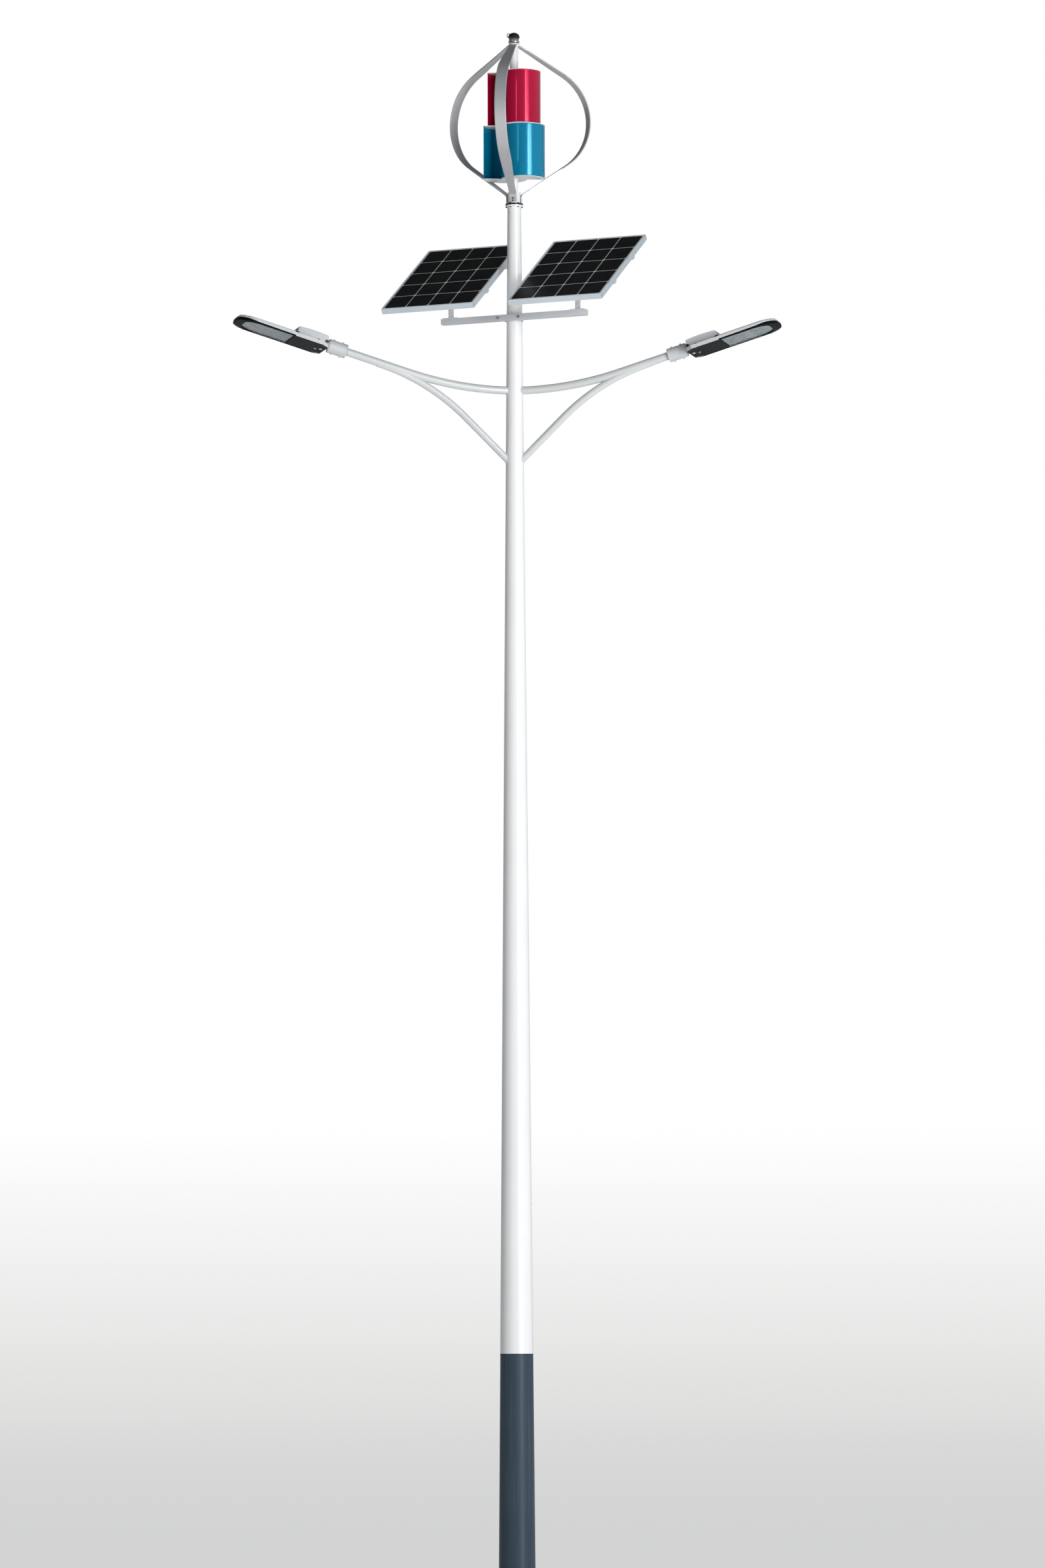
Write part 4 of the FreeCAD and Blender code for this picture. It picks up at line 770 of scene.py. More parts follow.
# ---------------------------------------------------------------- pole
@dataclass
class Pole:
    """The tapered pole with its base section, joint line, flanges and welds."""

    foot_radius: float = 111 * MM
    head_radius: float = 41 * MM
    height: float = 8420 * MM
    joint_level: float = 1516 * MM
    plate_top: float = 20 * MM
    flange_level: float = 8420 * MM
    bead: float = 4 * MM
    gusset_long: float = 66 * MM
    gusset_high: float = 120 * MM
    gusset_half: float = 6 * MM

    def radius(self, level: float) -> float:
        """Outer radius at a height."""
        return self.foot_radius - (self.foot_radius - self.head_radius) * level / self.height

    def ring(self, radius: float, level: float, steps: int) -> list[Vector]:
        """Points of a level circle round the pole."""
        return [Vector((radius * math.cos(math.tau * step / steps),
                        radius * math.sin(math.tau * step / steps), level))
                for step in range(steps)]

    def dress_nodes(self) -> None:
        """Gives the pole's CAD nodes their finishes."""
        for node in ("base_plate", "base_gussets", "pole_base_section"):
            dress(node, "slate")
        dress_all({"pole_shaft": "white", "generator_flange": "dark_steel",
                   "flange_bolts": "dark_steel", "equipment_rail": "galvanised",
                   "battery_pack": "battery", "charge_controller": "potting",
                   "cable_harness": "rubber", "generator_axle": "galvanised",
                   "generator_stator": "copper"})

    def joint_ring(self) -> None:
        """The sealed line where the white shaft meets the base section."""
        radius = self.radius(self.joint_level)
        seal = lathe([(radius - 1 * MM, self.joint_level - 3 * MM),
                      (radius + 0.9 * MM, self.joint_level - 2.4 * MM),
                      (radius + 1.1 * MM, self.joint_level),
                      (radius + 0.7 * MM, self.joint_level + 2 * MM),
                      (radius - 1 * MM, self.joint_level + 2.6 * MM)], 96, closed=True)
        piece(seal, "pole_joint_seal", "pole", "slate")

    def welds(self) -> None:
        """Beads at the base plate, the gussets and the top flange."""
        low = self.plate_top + 1 * MM
        beads = bmesh.new()
        merge(beads, weld_bead(self.ring(self.radius(low) + 1 * MM, low, 220), self.bead))
        for quarter in range(4):
            spot = turned(90 * quarter)
            for side in (1, -1):
                along = [Vector((self.radius(low) + 4 * MM + self.gusset_long * step / 30,
                                 side * self.gusset_half, low)) for step in range(31)]
                merge(beads, weld_bead(along, self.bead * 0.7, loop=False), spot)
                upward = []
                for step in range(40):
                    level = low + 4 * MM + self.gusset_high * step / 39
                    upward.append(Vector((self.radius(level) - 0.3 * MM, side * self.gusset_half,
                                          level)))
                merge(beads, weld_bead(upward, self.bead * 0.7, loop=False), spot)
        piece(beads, "base_weld_beads", "pole", "slate")
        top = self.flange_level - 1.5 * MM
        collar = weld_bead(self.ring(self.radius(top) + 0.5 * MM, top, 120), 2.2 * MM)
        piece(collar, "top_flange_bead", "pole", "white")

    def build(self) -> None:
        """Builds and dresses the pole."""
        self.dress_nodes()
        self.joint_ring()
        self.welds()


@dataclass
class Door:
    """The access door on the pole's back with its lock and hinge."""

    rim: float = 1.6 * MM
    lock_plate: float = 15 * MM

    def build(self) -> None:
        """Builds and dresses the door."""
        dress_all({"access_door": "slate", "door_hinge_pin": "zinc", "door_lock": "zinc"})
        turn = joint("door_lock_turn")
        axis = Vector(turn["axis"])
        side = Vector((0, 0, 1)).cross(axis).normalized()
        place = basis(Vector(turn["pos_m"]) + axis * 3.2 * MM, side, axis.cross(side), axis)
        ring = lathe([(6.6 * MM, 0), (self.lock_plate, 0), (self.lock_plate, 1 * MM),
                      (self.lock_plate - self.rim, 2.4 * MM), (7.4 * MM, 2.4 * MM),
                      (6.6 * MM, 1.6 * MM)], 48, closed=True)
        piece(ring, "door_lock_escutcheon", "door", "zinc", place)


# ---------------------------------------------------------------- arms
@dataclass
class Arm:
    """One curved arm with its brace and its welds."""

    side: str
    pole: Pole
    tube: float = 24 * MM
    brace: float = 21 * MM
    tube_level: float = 7302 * MM
    brace_level: float = 6890 * MM
    brace_slope: float = 44.0
    bead: float = 2.6 * MM

    def seam(self, level: float, radius: float, slope: float) -> list[Vector]:
        """Where a tube meets the pole.

        Args:
            level: Height at which the tube's centre line meets the pole.
            radius: The tube's radius.
            slope: The tube's slope in degrees.

        Returns:
            Points round the seam, in the arm's own frame.
        """
        rise = math.radians(slope)
        along = Vector((math.cos(rise), 0, math.sin(rise)))
        across = Vector((0, 1, 0))
        upward = along.cross(across) * -1
        points = []
        steps = 84
        for step in range(steps):
            angle = math.tau * step / steps
            start = Vector((0, 0, level - self.pole.radius(level) * math.tan(rise)))
            start += across * radius * math.cos(angle) + upward * radius * math.sin(angle)
            reach = self.pole.radius(level)
            for _ in range(6):
                spot = start + along * reach
                target = self.pole.radius(spot.z)
                flat = math.sqrt(max(target ** 2 - spot.y ** 2, 0.0))
                reach += (flat - spot.x) / along.x
            points.append(start + along * reach)
        return points

    def build(self) -> None:
        """Dresses the arm and adds its weld beads."""
        # The arm and its weld beads take the darker copy of the white powder coat, which paints
        # shade onto them.
        dress_all({"arm": "arm_white_painted_shade", "spigot_sleeve": "casting"}, f"{self.side}_")
        tilt = Vector(joint(f"{self.side}_lamp_tilt")["pos_m"])
        place = turned(math.degrees(math.atan2(tilt.y, tilt.x)))
        beads = weld_bead(self.seam(self.tube_level, self.tube, 0.0), self.bead)
        merge(beads, weld_bead(self.seam(self.brace_level, self.brace, self.brace_slope),
                               self.bead))
        piece(beads, f"{self.side}_arm_weld_beads", "pole", "arm_white_painted_shade", place)


# ---------------------------------------------------------------- lamp heads
@dataclass
class LampHead:
    """A flat lamp head: finned casting, black underside, ribbed lens and driver box."""

    side: str
    pivot: float = 143 * MM
    start: float = 131 * MM
    length: float = 565 * MM
    width: float = 320 * MM
    low: float = -38 * MM
    rim: float = -16 * MM
    top: float = 42 * MM
    corner: float = 112 * MM
    bevel: float = 40 * MM
    gear_long: float = 211 * MM
    gear_wide: float = 200 * MM
    lens_inset: float = 18 * MM
    lens_nose: float = 36 * MM
    rib_pitch: float = 14 * MM
    rib_height: float = 2.8 * MM
    skirt_side: float = 5 * MM
    skirt_nose: float = 15 * MM
    skirt_run: float = 40 * MM
    place: Matrix = field(init=False)

    def __post_init__(self) -> None:
        """Works out the head's own frame from its joints."""
        across = -Vector(joint(f"{self.side}_lamp_tilt")["axis"])
        upward = -Vector(joint(f"{self.side}_latch_turn")["axis"])
        along = across.cross(upward)
        origin = Vector(joint(f"{self.side}_lamp_tilt")["pos_m"]) - along * self.pivot
        self.place = basis(origin, along, across, upward)

    @property
    def body(self) -> str:
        """The body that the head's pieces ride on."""
        return f"{self.side}_lamp_head"

    @property
    def end(self) -> float:
        """Where the nose ends."""
        return self.start + self.length

    @property
    def cover_end(self) -> float:
        """Where the gear cover ends."""
        return self.start + self.gear_long

    def half_width(self, along: float, inset: float, nose: float = 0.0) -> float:
        """Half the outline's width at a distance from the sleeve mouth.

        Args:
            along: Distance from the sleeve mouth.
            inset: How far inside the outline.
            nose: How much further back the nose is.

        Returns:
            The half width there.
        """
        half = self.width / 2 - inset
        end = self.end - inset - nose
        radius = self.corner - inset
        turn = end - radius
        if along > turn:
            return half - radius + math.sqrt(max(radius ** 2 - (along - turn) ** 2, 0.0))
        return min(half, half - self.bevel + along - self.start - inset)

    def outline(self, first: float, inset: float, nose: float = 0.0) -> list[Point]:
        """The outline from a distance along to the nose.

        Args:
            first: Where the outline starts.
            inset: How far inside the casting's outline.
            nose: How much further back the nose is.

        Returns:
            Its corners, in order.
        """
        end = self.end - inset - nose
        turn = end - (self.corner - inset)
        stations = [first] if first > self.start + self.bevel else [first, self.start + self.bevel]
        stations += [turn + (end - turn) * math.sin(math.pi / 2 * step / 14) for step in range(15)]
        near = [(along, -self.half_width(along, inset, nose)) for along in stations]
        return near + [(x, -y) for x, y in reversed(near)]

    def skirt_level(self, along: float) -> float:
        """Height of the bezel's outer lip: low beside the lens and high round the nose."""
        turn = self.end - self.corner
        share = min(max((along - turn + self.skirt_run) / (self.end - turn), 0.0), 1.0)
        rise = (self.skirt_nose - self.skirt_side) * share * share * (3 - 2 * share)
        return self.low + self.skirt_side + rise

    def bezel(self) -> None:
        """The black frame round the lens: it wraps the nose, and its walls slope in to the lens."""
        mesh = bmesh.new()
        first = self.cover_end + 1.5 * MM
        wrap = self.outline(first, -1.2 * MM)
        outer = self.outline(first, 1.5 * MM)
        middle = self.outline(first + 3.5 * MM, self.lens_inset - 0.5 * MM, self.lens_nose - 4 * MM)
        inner = self.outline(first + 5 * MM, self.lens_inset + 1 * MM, self.lens_nose + 1 * MM)
        lip = [(x, y, self.skirt_level(x)) for x, y in wrap]
        seat = [(x, y, self.skirt_level(x) - 0.6 * MM) for x, y in self.outline(first, 0.4 * MM)]
        flat = [[(x, y, level) for x, y in points] for points, level in (
            (wrap, self.low + 0.4 * MM), (outer, self.low - 1.2 * MM),
                                                                         (middle,
                                                                          self.low - 1.4 * MM),
            (inner, self.low + 5 * MM), (inner, self.low + 6 * MM), (outer, self.low + 0.3 * MM))]
        rows = [[mesh.verts.new(corner) for corner in points] for points in [seat, lip, *flat]]
        for lower, upper in zip(rows, rows[1:] + rows[:1]):
            bridge(mesh, lower, upper)
        bmesh.ops.recalc_face_normals(mesh, faces=mesh.faces)
        piece(mesh, f"{self.side}_lens_bezel", self.body, "black", self.place)

    def cover_trim(self) -> None:
        """The black rim of the underside round the gear cover."""
        last = self.cover_end - 1 * MM
        outer = self.rim_outline(0.4 * MM, last)
        inner = self.rim_outline(12.2 * MM, last)
        mesh = bmesh.new()
        rows = [[mesh.verts.new((x, y, level)) for x, y in points] for points, level in (
            (outer, self.low + 0.2 * MM), (outer, self.low - 1 * MM), (inner, self.low - 1 * MM),
            (inner, self.low + 0.2 * MM))]
        for lower, upper in zip(rows, rows[1:] + rows[:1]):
            bridge(mesh, lower, upper, loop=False)
        for index in (0, -1):
            mesh.faces.new([row[index] for row in rows])
        bmesh.ops.recalc_face_normals(mesh, faces=mesh.faces)
        piece(mesh, f"{self.side}_cover_trim", self.body, "black", self.place)

    def rim_outline(self, inset: float, last: float) -> list[Point]:
        """Open outline round the rear of the head.

        Args:
            inset: How far inside the casting's outline.
            last: Where both its ends stop.

        Returns:
            Its corners, from the near end round the rear to the far end.
        """
        rear = self.start + inset
        half = self.width / 2 - inset
        slant = self.bevel - inset * 0.586
        near = [(last, -half), (rear + slant, -half), (rear, slant - half)]
        return near + [(x, -y) for x, y in reversed(near)]

    def lens(self) -> None:
        """The lens with ribs across it, which fade out towards the nose."""
        first = self.cover_end + 6 * MM
        last = self.end - self.lens_inset - self.lens_nose - 1 * MM
        mesh = bmesh.new()
        steps = 300
        under, over = [], []
        for step in range(steps + 1):
            along = first + (last - first) * step / steps
            half = self.half_width(along, self.lens_inset + 0.5 * MM, self.lens_nose) - 0.3 * MM
            fade = max(0.25, 1.0 - (along - first) / (last - first) * 0.9)
            wave = 0.5 - 0.5 * math.cos(math.tau * (along - first) / self.rib_pitch)
            level = self.low + 5.2 * MM - self.rib_height * fade * wave
            under.append([mesh.verts.new((along, half * across, level)) for across in (-1.0, 1.0)])
            over.append([mesh.verts.new((along, half * across,
                                         self.low + 9 * MM)) for across in (-1.0, 1.0)])
        for index in range(steps):
            mesh.faces.new((under[index][0], under[index + 1][0], under[index + 1][1],
                            under[index][1]))
            mesh.faces.new((over[index][0], over[index][1], over[index + 1][1], over[index + 1][0]))
            for edge in (0, 1):
                mesh.faces.new((under[index][edge], over[index][edge], over[index + 1][edge],
                                under[index + 1][edge]))
        for index in (0, steps):
            mesh.faces.new((under[index][0], under[index][1], over[index][1], over[index][0]))
        bmesh.ops.recalc_face_normals(mesh, faces=mesh.faces)
        item = piece(mesh, f"{self.side}_ribbed_lens", self.body, "lens", self.place,
                     60.0)
        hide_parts(f"{self.side}_lens_plate")

    def driver_box(self) -> None:
        """The driver box on top: rounded casting with an arched lid."""
        first, last = self.start + 1 * MM, self.cover_end - 6 * MM
        profile = [(first, self.rim), (last, self.rim), (last - 2 * MM, self.rim + 20 * MM)]
        arch = 10
        for step in range(arch + 1):
            share = step / arch
            along = last - 8 * MM - (last - first - 16 * MM) * share
            crown = 5 * MM * (1 - (2 * share - 1) ** 2)
            profile.append((along, self.top - 5 * MM + crown))
        profile.append((first + 1 * MM, self.rim + 24 * MM))
        mesh = prism(profile, -self.gear_wide / 2, self.gear_wide / 2)
        soften(mesh, 4 * MM, 3, 24.0)
        upright = self.place @ Matrix(((1, 0, 0, 0), (0, 0, -1, 0), (0, 1, 0, 0), (0, 0, 0, 1)))
        item = piece(mesh, f"{self.side}_driver_casting", self.body, "casting",
                     upright)
        pocket = block((46 * MM, 61 * MM, 57 * MM), (self.pivot - 1 * MM, 0, -1.5 * MM), 0.0)
        pocket.transform(self.place)
        carve(item, pocket)
        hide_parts(f"{self.side}_driver_box")

    def clips(self) -> None:
        """Black spring clips at both long sides of the driver box."""
        mesh = bmesh.new()
        for across in (-1, 1):
            for along, size in ((self.cover_end - 14 * MM, 20 * MM),
                                (self.pivot + 52 * MM, 11 * MM)):
                y = across * (self.gear_wide / 2 + 2.5 * MM)
                merge(mesh, block((size, 6 * MM, size * 0.8), (along, y, self.rim + 12 * MM),
                                  1.5 * MM))
                merge(mesh, block((size * 0.5, 9 * MM, size * 0.34), (along, y, self.rim + 12 * MM),
                                  1 * MM))
                merge(mesh, block((size * 0.7, 5 * MM, 3 * MM),
                                  (along, y + across * 2 * MM, self.rim + 3 * MM), 1 * MM))
        piece(mesh, f"{self.side}_driver_clips", self.body, "dark_steel",
              self.place)

    def screws(self) -> None:
        """Small screws round the lens frame."""
        mesh = bmesh.new()
        spots = [(self.cover_end + 30 * MM + 60 * MM * index, side * (self.width / 2 - 8 * MM))
                 for index in range(5) for side in (-1, 1)]
        for along, across in spots:
            head = lathe(mm((0, -2.6), (1.8, -2.6), (3.6, -1.6), (3.8, -0.6), (3.8, 0)), 18)
            merge(mesh, head, moved(along, across, self.low - 0.4 * MM))
        piece(mesh, f"{self.side}_lens_screws", self.body, "dark_steel",
              self.place)

    def sleeve_mouth(self) -> None:
        """The rolled rim of the spigot sleeve and the gasket behind it."""
        rim = lathe(mm((36, 1), (37.5, -1), (40, -1.6), (42, 0.5), (42.6, 6), (41.4, 9), (36, 6)),
                    64, closed=True)
        along = self.place @ turned(90, "Y")
        piece(rim, f"{self.side}_sleeve_rim", "pole", "casting", along)
        band = lathe(mm((41.4, 0), (42.4, 1), (42.4, 7), (41.4, 8)), 64, closed=True)
        piece(band, f"{self.side}_sleeve_band", "pole", "casting",
              self.place @ moved(100 * MM, 0, 0) @ turned(90, "Y"))
        gasket = lathe(mm((24.1, 0.6), (24.1, -4), (26, -5), (29, -2.6), (36.5, -1.4), (36.5, 0.6)),
                       64, closed=True)
        piece(gasket, f"{self.side}_sleeve_gasket", "pole", "rubber", along)

    def build(self) -> None:
        """Builds and dresses the lamp head."""
        dress_all({"lamp_housing": "casting", "lamp_bolts": "dark_steel", "led_board": "board",
                   "led_driver": "potting", "gear_cover": "black", "cover_latch": "zinc"},
                  f"{self.side}_")
        self.bezel()
        self.cover_trim()
        self.lens()
        self.driver_box()
        self.clips()
        self.screws()
        self.sleeve_mouth()


# ---------------------------------------------------------------- panels
@dataclass
class SolarPanel:
    """A framed solar panel: mitred frame, black cells over a light backsheet."""

    side: str
    width: float = 606 * MM
    length: float = 828 * MM
    frame_high: float = 35 * MM
    lip: float = 12 * MM
    face: float = 75 * MM
    shift: float = 120 * MM
    sunk: float = 2 * MM
    columns: int = 4
    rows: int = 5
    gap: float = 5.6 * MM
    cell_corner: float = 8 * MM
    box_high: float = 22 * MM
    box_gap: float = 4.5 * MM
    box_at: float = 230 * MM
    box_screw_x: float = 46 * MM
    box_screw_y: float = 36 * MM
    gland_at: float = 185 * MM
    gland_x: float = 24 * MM
    place: Matrix = field(init=False)

    def __post_init__(self) -> None:
        """Works out the panel's own frame from its pivot and its laminate."""
        tilt = joint(f"{self.side}_panel_tilt")
        across = Vector(tilt["axis"])
        laminate = frame["nodes"][f"{self.side}_panel_laminate"].data
        largest = max((polygon for polygon in laminate.polygons if polygon.normal.z > 0.3),
                      key=lambda polygon: polygon.area)
        outward = largest.normal.normalized()
        self.place = basis(Vector(tilt["pos_m"]), across, outward.cross(across), outward)

    @property
    def body(self) -> str:
        """The body that the panel's pieces ride on."""
        return f"{self.side}_panel"

    def frame_rails(self) -> None:
        """Four mitred frame members with grooves along their outer walls."""
        high = self.frame_high
        profile = [(0.0, 0.8), (0.8, 0.0), (12.0, 0.0), (12.0, 32.6), (11.4, 33.2), (11.4, 34.4),
                   (10.8, 35.0),
                   (1.2, 35.0), (0.0, 33.8), (0.0, 27.5), (0.7, 26.8), (0.7, 25.6), (0.0, 24.9),
                   (0.0, 8.6),
                   (0.7, 7.9), (0.7, 6.7), (0.0, 6.0)]
        scale = self.lip / 12
        mesh = bmesh.new()
        gap = 0.25 * MM
        for quarter in range(4):
            half_run = (self.width if quarter % 2 == 0 else self.length) / 2
            half_off = (self.length if quarter % 2 == 0 else self.width) / 2
            rings = []
            for end in (-1, 1):
                ring = []
                for inset, level in profile:
                    inward = inset * scale * MM
                    spot = Vector((end * (half_run - inward - gap), half_off - inward,
                                   self.face - high + level * MM))
                    spot = turned(90 * quarter) @ spot
                    ring.append(mesh.verts.new(spot + Vector((0, self.shift, 0))))
                rings.append(ring)
            bridge(mesh, rings[0], rings[1])
            mesh.faces.new(list(reversed(rings[0])))
            mesh.faces.new(rings[1])
        bmesh.ops.recalc_face_normals(mesh, faces=mesh.faces)
        item = piece(mesh, f"{self.side}_frame_rails", self.body, "aluminium",
                     self.place, 20.0)
        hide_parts(f"{self.side}_panel_frame")

    def corner_keys(self) -> None:
        """Dark corner keys that show at the open ends of the frame members."""
        mesh = bmesh.new()
        for x_side in (-1, 1):
            for y_side in (-1, 1):
                spot = (x_side * (self.width / 2 - 0.2 * MM),
                        self.shift + y_side * (self.length / 2 - 5 * MM),
                        self.face - self.frame_high / 2)
                merge(mesh, block((1.6 * MM, 3.4 * MM, 22 * MM), spot, 0.5 * MM))
        piece(mesh, f"{self.side}_frame_keys", self.body, "dark_steel", self.place)

    def cells(self) -> None:
        """Black cells with cut corners, one thin plate each."""
        open_wide = self.width - 2 * self.lip
        open_long = self.length - 2 * self.lip
        pitch_x = open_wide / self.columns
        pitch_y = open_long / self.rows
        half_x, half_y = (pitch_x - self.gap) / 2, (pitch_y - self.gap) / 2
        cut = self.cell_corner
        shape = [(-half_x + cut, -half_y), (half_x - cut, -half_y), (half_x, -half_y + cut),
                 (half_x, half_y - cut),
                 (half_x - cut, half_y), (-half_x + cut, half_y), (-half_x, half_y - cut),
                 (-half_x, -half_y + cut)]
        level = self.face - self.sunk
        mesh = bmesh.new()
        for column in range(self.columns):
            for row in range(self.rows):
                x = (column - (self.columns - 1) / 2) * pitch_x
                y = self.shift + (row - (self.rows - 1) / 2) * pitch_y
                merge(mesh, prism(shape, level - 0.1 * MM, level + 0.3 * MM), moved(x, y, 0))
        piece(mesh, f"{self.side}_solar_cells", self.body, f"{self.side}_cells",
              self.place)

    def back_details(self) -> None:
        """Lid screws and cable glands of the junction box."""
        mesh = bmesh.new()
        box_low = self.face - self.sunk - self.box_gap - self.box_high
        for x_side in (-1, 1):
            for y_side in (-1, 1):
                spot = moved(x_side * self.box_screw_x,
                             self.shift + self.box_at + y_side * self.box_screw_y,
                             box_low - 1.6 * MM)
                merge(mesh, lathe(mm((0, 0), (3, 0), (3.6, 0.8), (3.6, 2)), 16), spot)
        piece(mesh, f"{self.side}_box_screws", self.body, "zinc", self.place)
        glands = bmesh.new()
        for x_side in (-1, 1):
            spot = moved(x_side * self.gland_x, self.shift + self.gland_at,
                         box_low + self.box_high / 2) @ turned(90, "X")
            merge(glands, lathe(mm((8, 0), (8, 6), (6.4, 7), (6.4, 15), (4, 17)), 24), spot)
        piece(glands, f"{self.side}_box_glands", self.body, "black", self.place)

    def build(self) -> None:
        """Builds and dresses the panel."""
        across = self.place.to_3x3() @ Vector((1, 0, 0))
        cells = CellFinish(f"{self.side}_black_cells", (0.0018, 0.0028, 0.004),
                           (0.003, 0.0042, 0.006), 0.3,
                           specular=0.05, grain_scale=45.0, grain_height=0.04, blotch_scale=9.0,
                           dust=0.02,
                           across=tuple(across))
        MATERIALS[f"{self.side}_cells"] = cells.make()
        dress_all({"panel_laminate": "backsheet", "panel_cradle": "bracket",
                   "junction_box": "black"}, f"{self.side}_")
        self.frame_rails()
        self.corner_keys()
        self.cells()
        self.back_details()


@dataclass
class Bracket:
    """The crossbar with its collar, posts and bolts."""

    length: float = 950 * MM
    high: float = 37 * MM
    deep: float = 40 * MM
    level: float = 7737 * MM
    front: float = 72 * MM
    shift: float = 30 * MM

    def build(self) -> None:
        """Builds and dresses the bracket."""
        dress_all({"bracket_posts": "bracket", "pole_collar": "bracket", "collar_bolts": "zinc"})
        axis = Vector(joint("right_panel_tilt")["axis"])
        place = turned(math.degrees(math.atan2(axis.y, axis.x)))
        bar = block((self.length, self.deep, self.high), (self.shift, -self.front, self.level),
                    3 * MM)
        item = piece(bar, "crossbar_tube", "panel_bracket", "bracket", place)
        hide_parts("crossbar")
        caps = bmesh.new()
        for end in (-1, 1):
            spot = (self.shift + end * (self.length / 2 + 1.2 * MM), -self.front, self.level)
            merge(caps, block((3 * MM, self.deep - 3 * MM, self.high - 3 * MM), spot, 1 * MM))
        piece(caps, "crossbar_end_plugs", "panel_bracket", "bracket", place)


# ---------------------------------------------------------------- turbine
@dataclass
class Turbine:
    """The wind rotor: bowed blades, two bucket stages, hub and cap."""

    body: str = "turbine_rotor"
    cap_low: float = field(init=False)
    cap_high: float = field(init=False)

    def __post_init__(self) -> None:
        """Reads where the cap stands."""
        low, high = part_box("top_cap")
        self.cap_low, self.cap_high = low[2], high[2]

    def dress_nodes(self) -> None:
        """Gives the rotor's CAD nodes their finishes."""
        for number in (1, 2, 3):
            dress(f"blade_{number}", "blade")
        dress("blade_bolts", "dark_steel")
        dress("upper_buckets", "red")
        dress("lower_buckets", "blue")
        for node in ("stage_plates", "rotor_shaft", "rotor_hub", "top_hub"):
            dress(node, "plate")
        dress("generator_magnets", "zinc")
        dress("rotor_bearings", "zinc")

    def bucket_rims(self) -> None:
        """Rolled rims along the top and bottom edges of the buckets."""
        for name, finish, slot, radius, shift, turn in (
                ("upper_buckets", "red", Slot.RED_GLOSS, 117 * MM, 42 * MM, -6.0),
                ("lower_buckets", "blue", Slot.BLUE_GLOSS, 130 * MM, 54 * MM, 4.0)):
            low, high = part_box(name)
            mesh = bmesh.new()
            for spin in (0.0, 180.0):
                for level in (low[2] + 2.2 * MM, high[2] - 2.2 * MM):
                    arc = [Vector((shift + radius * math.cos(math.pi + math.pi * step / 40),
                                   radius * math.sin(math.pi + math.pi * step / 40),
                                   level)) for step in range(41)]
                    merge(mesh, sweep(arc, 2.2 * MM, 10), turned(turn + spin))
                for angle in (math.pi, math.tau):
                    x, y = shift + radius * math.cos(angle), radius * math.sin(angle)
                    edge = [Vector((x, y, low[2] + 1 * MM)), Vector((x, y, high[2] - 1 * MM))]
                    merge(mesh, sweep(edge, 2.0 * MM, 10), turned(turn + spin))
            piece(mesh, f"{name}_rims", self.body, finish)

    def cap(self) -> None:
        """The hexagonal cap nut with its washer, dome and lifting eye."""
        base = self.cap_low
        high = self.cap_high - base
        mesh = lathe(mm((33, 0), (34, 1), (34, 4), (32, 5), (24, 5)), 48)
        merge(mesh, hex_nut(52 * MM, 22 * MM), moved(0, 0, 5 * MM))
        piece(mesh, "cap_nut", self.body, "zinc", moved(0, 0, base))
        dome_profile = mm((24, 26), (33, 29), (35, 33), (34, 38))
        for step in range(1, 9):
            angle = math.pi / 2 * step / 8
            dome_profile.append((34 * MM * math.cos(angle),
                                 38 * MM + (high - 38 * MM) * math.sin(angle)))
        dome = lathe(dome_profile, 48)
        item = piece(dome, "cap_dome", self.body, "dark_steel", moved(0, 0, base))
        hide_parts("top_cap")
        eye = [Vector((math.cos(math.tau * step / 28) * 9 * MM, 0,
                       math.sin(math.tau * step / 28) * 12 * MM))
               for step in range(28)]
        loop = sweep(eye, 2.4 * MM, 10, loop=True)
        spot = moved(-32 * MM, 0, base + 46 * MM)
        piece(loop, "cap_lifting_eye", self.body, "dark_steel", spot)

    def build(self) -> None:
        """Builds and dresses the rotor."""
        self.dress_nodes()
        self.bucket_rims()
        self.cap()


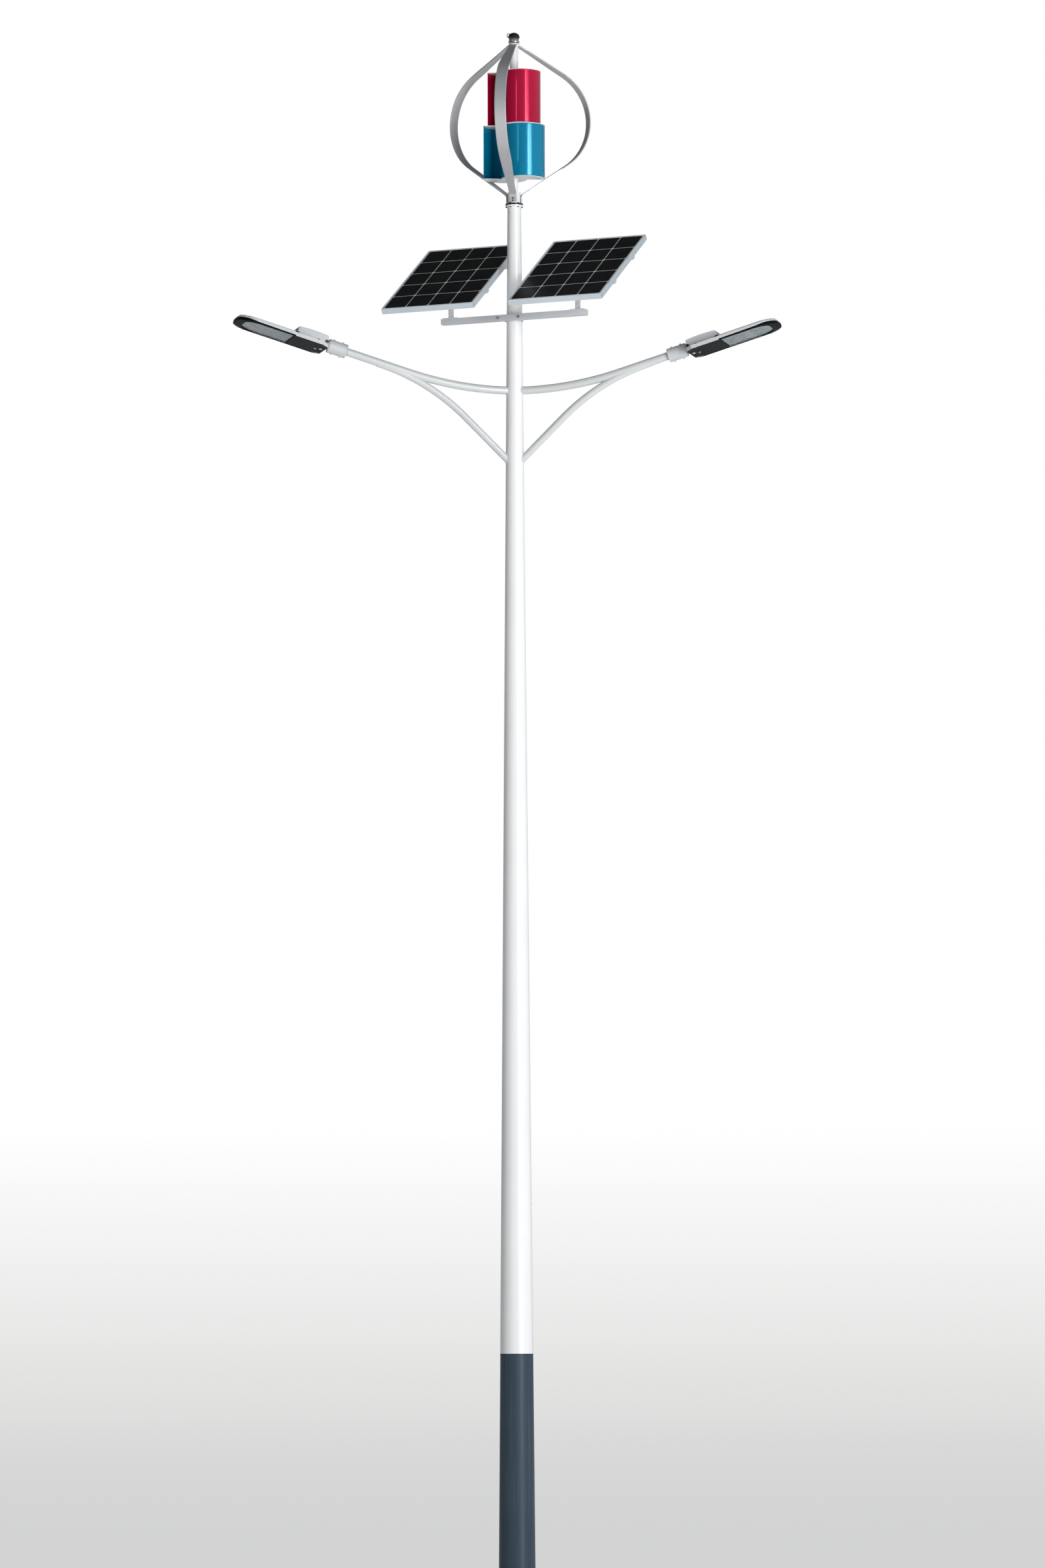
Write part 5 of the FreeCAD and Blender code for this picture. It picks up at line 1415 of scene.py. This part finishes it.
# ---------------------------------------------------------------- studio
@dataclass
class Studio:
    """Pale floor, soft light and the camera."""

    distance: float = 40.0
    eye: float = 1.5
    offset: float = 0.042
    pitch: float = 4.891
    roll: float = -0.13
    lens: float = 153.67
    floor_radius: float = 160.0

    def camera(self) -> None:
        """A long lens far in front of the lamp, looking slightly up."""
        data = bpy.data.cameras.new("camera")
        data.sensor_fit = "VERTICAL"
        data.sensor_height = 36.0
        data.sensor_width = 24.0
        data.lens = self.lens
        data.clip_end = 500.0
        item = bpy.data.objects.new("camera", data)
        look = turned(90 + self.pitch, "X") @ turned(self.roll, "Z")
        item.matrix_world = moved(self.offset, -self.distance, self.eye) @ look
        bpy.context.scene.collection.objects.link(item)
        bpy.context.scene.camera = item

    def floor(self) -> None:
        """A wide pale floor that brightens slowly towards the horizon."""
        mesh = lathe([(0.0, -0.02), (self.floor_radius, -0.02), (self.floor_radius, 0.0),
                      (0.0, 0.0)], 96)
        data = bpy.data.meshes.new("floor")
        mesh.to_mesh(data)
        mesh.free()
        item = bpy.data.objects.new("floor", data)
        item.location.z = -0.001
        bpy.context.scene.collection.objects.link(item)
        material = bpy.data.materials.new("studio_floor")
        material.use_nodes = True
        graph = Graph(material.node_tree)
        shader = material.node_tree.nodes["Principled BSDF"]
        place = graph.add("TexCoord")
        reach = graph.add("VectorMath", operation="LENGTH")
        graph.link(place.outputs["Object"], reach.inputs[0])
        away = graph.ramp(reach.outputs["Value"], 3.0, 8.0, interpolation_type="SMOOTHSTEP")
        distant = graph.ramp(reach.outputs["Value"], 14.0, 130.0)
        base = graph.mix(away, (0.62, 0.625, 0.63), (0.0, 0.0, 0.0))
        graph.link(base, shader.inputs["Base Color"])
        glow = graph.mix(distant, (0.650, 0.652, 0.655), (0.735, 0.735, 0.73))
        near_glow = graph.mix(away, (0.40, 0.402, 0.405), glow)
        graph.link(near_glow, shader.inputs["Emission Color"])
        shader.inputs["Emission Strength"].default_value = 1.0
        shader.inputs["Roughness"].default_value = 0.9
        shader.inputs["Specular IOR Level"].default_value = 0.0
        data.materials.append(material)

    def world(self) -> None:
        """White surroundings for the camera, and a dim sky that lights the lamp from the right."""
        world = bpy.data.worlds.new("surroundings")
        world.use_nodes = True
        bpy.context.scene.world = world
        graph = Graph(world.node_tree)
        shown = world.node_tree.nodes["Background"]
        shown.inputs["Strength"].default_value = 1.0
        place = graph.add("TexCoord")
        parts = graph.add("SeparateXYZ")
        graph.link(place.outputs["Generated"], parts.inputs[0])
        height = graph.ramp(parts.outputs["Z"], -0.0075, 0.034)
        backdrop = graph.mix(height, (0.737, 0.737, 0.73), (1.0, 1.0, 1.0))
        sideways = graph.ramp(parts.outputs["X"], -1.0, 1.0, To_Min=0.10, To_Max=0.45)
        upward = graph.ramp(parts.outputs["Z"], 0.0, 0.9, To_Min=1.0, To_Max=0.35)
        strength = graph.math("MULTIPLY", sideways, upward)
        light = graph.mix(strength, (0.0, 0.0, 0.0), (0.95, 0.98, 1.0))
        ray = graph.add("LightPath")
        graph.link(graph.mix(ray.outputs["Is Camera Ray"], light, backdrop), shown.inputs["Color"])

    def lamp(self, name: str, spot: Vector, size: tuple[float, float], power: float) -> None:
        """A soft box aimed level at the lamp's axis.

        Args:
            name: The light's name.
            spot: Where it stands.
            size: Its width and height.
            power: Its power in watts.
        """
        data = bpy.data.lights.new(name, "AREA")
        data.shape = "RECTANGLE"
        data.size, data.size_y = size
        data.energy = power
        item = bpy.data.objects.new(name, data)
        aim = Vector((0, 0, spot.z)) - spot
        item.matrix_world = Matrix.Translation(spot) @ aim.to_track_quat("-Z",
                                                                         "Y").to_matrix().to_4x4()
        item.visible_camera = False
        bpy.context.scene.collection.objects.link(item)

    def lights(self) -> None:
        """Tall soft boxes: a strong one at the front right, narrow ones for highlights."""
        self.lamp("key_front_right", Vector((8.0, -11.5, 5.5)), (5.0, 12.0), 1500.0)
        self.lamp("strip_right", Vector((5.2, -9.5, 6.0)), (0.35, 12.0), 130.0)
        self.lamp("strip_left", Vector((-5.0, -10.0, 6.0)), (0.25, 12.0), 70.0)

    def build(self) -> None:
        """Sets up the studio."""
        bpy.context.scene.view_settings.view_transform = "Standard"
        self.camera()
        self.floor()
        self.world()
        self.lights()


def main() -> None:
    """Builds every sub-assembly in order."""
    logging.basicConfig(level=logging.INFO, format="%(name)s %(message)s")
    Studio().build()
    pole = Pole()
    pole.build()
    Door().build()
    for side in SIDES:
        Arm(side, pole).build()
        LampHead(side).build()
        SolarPanel(side).build()
    Bracket().build()
    Turbine().build()


if __name__ == "__main__":
    main()
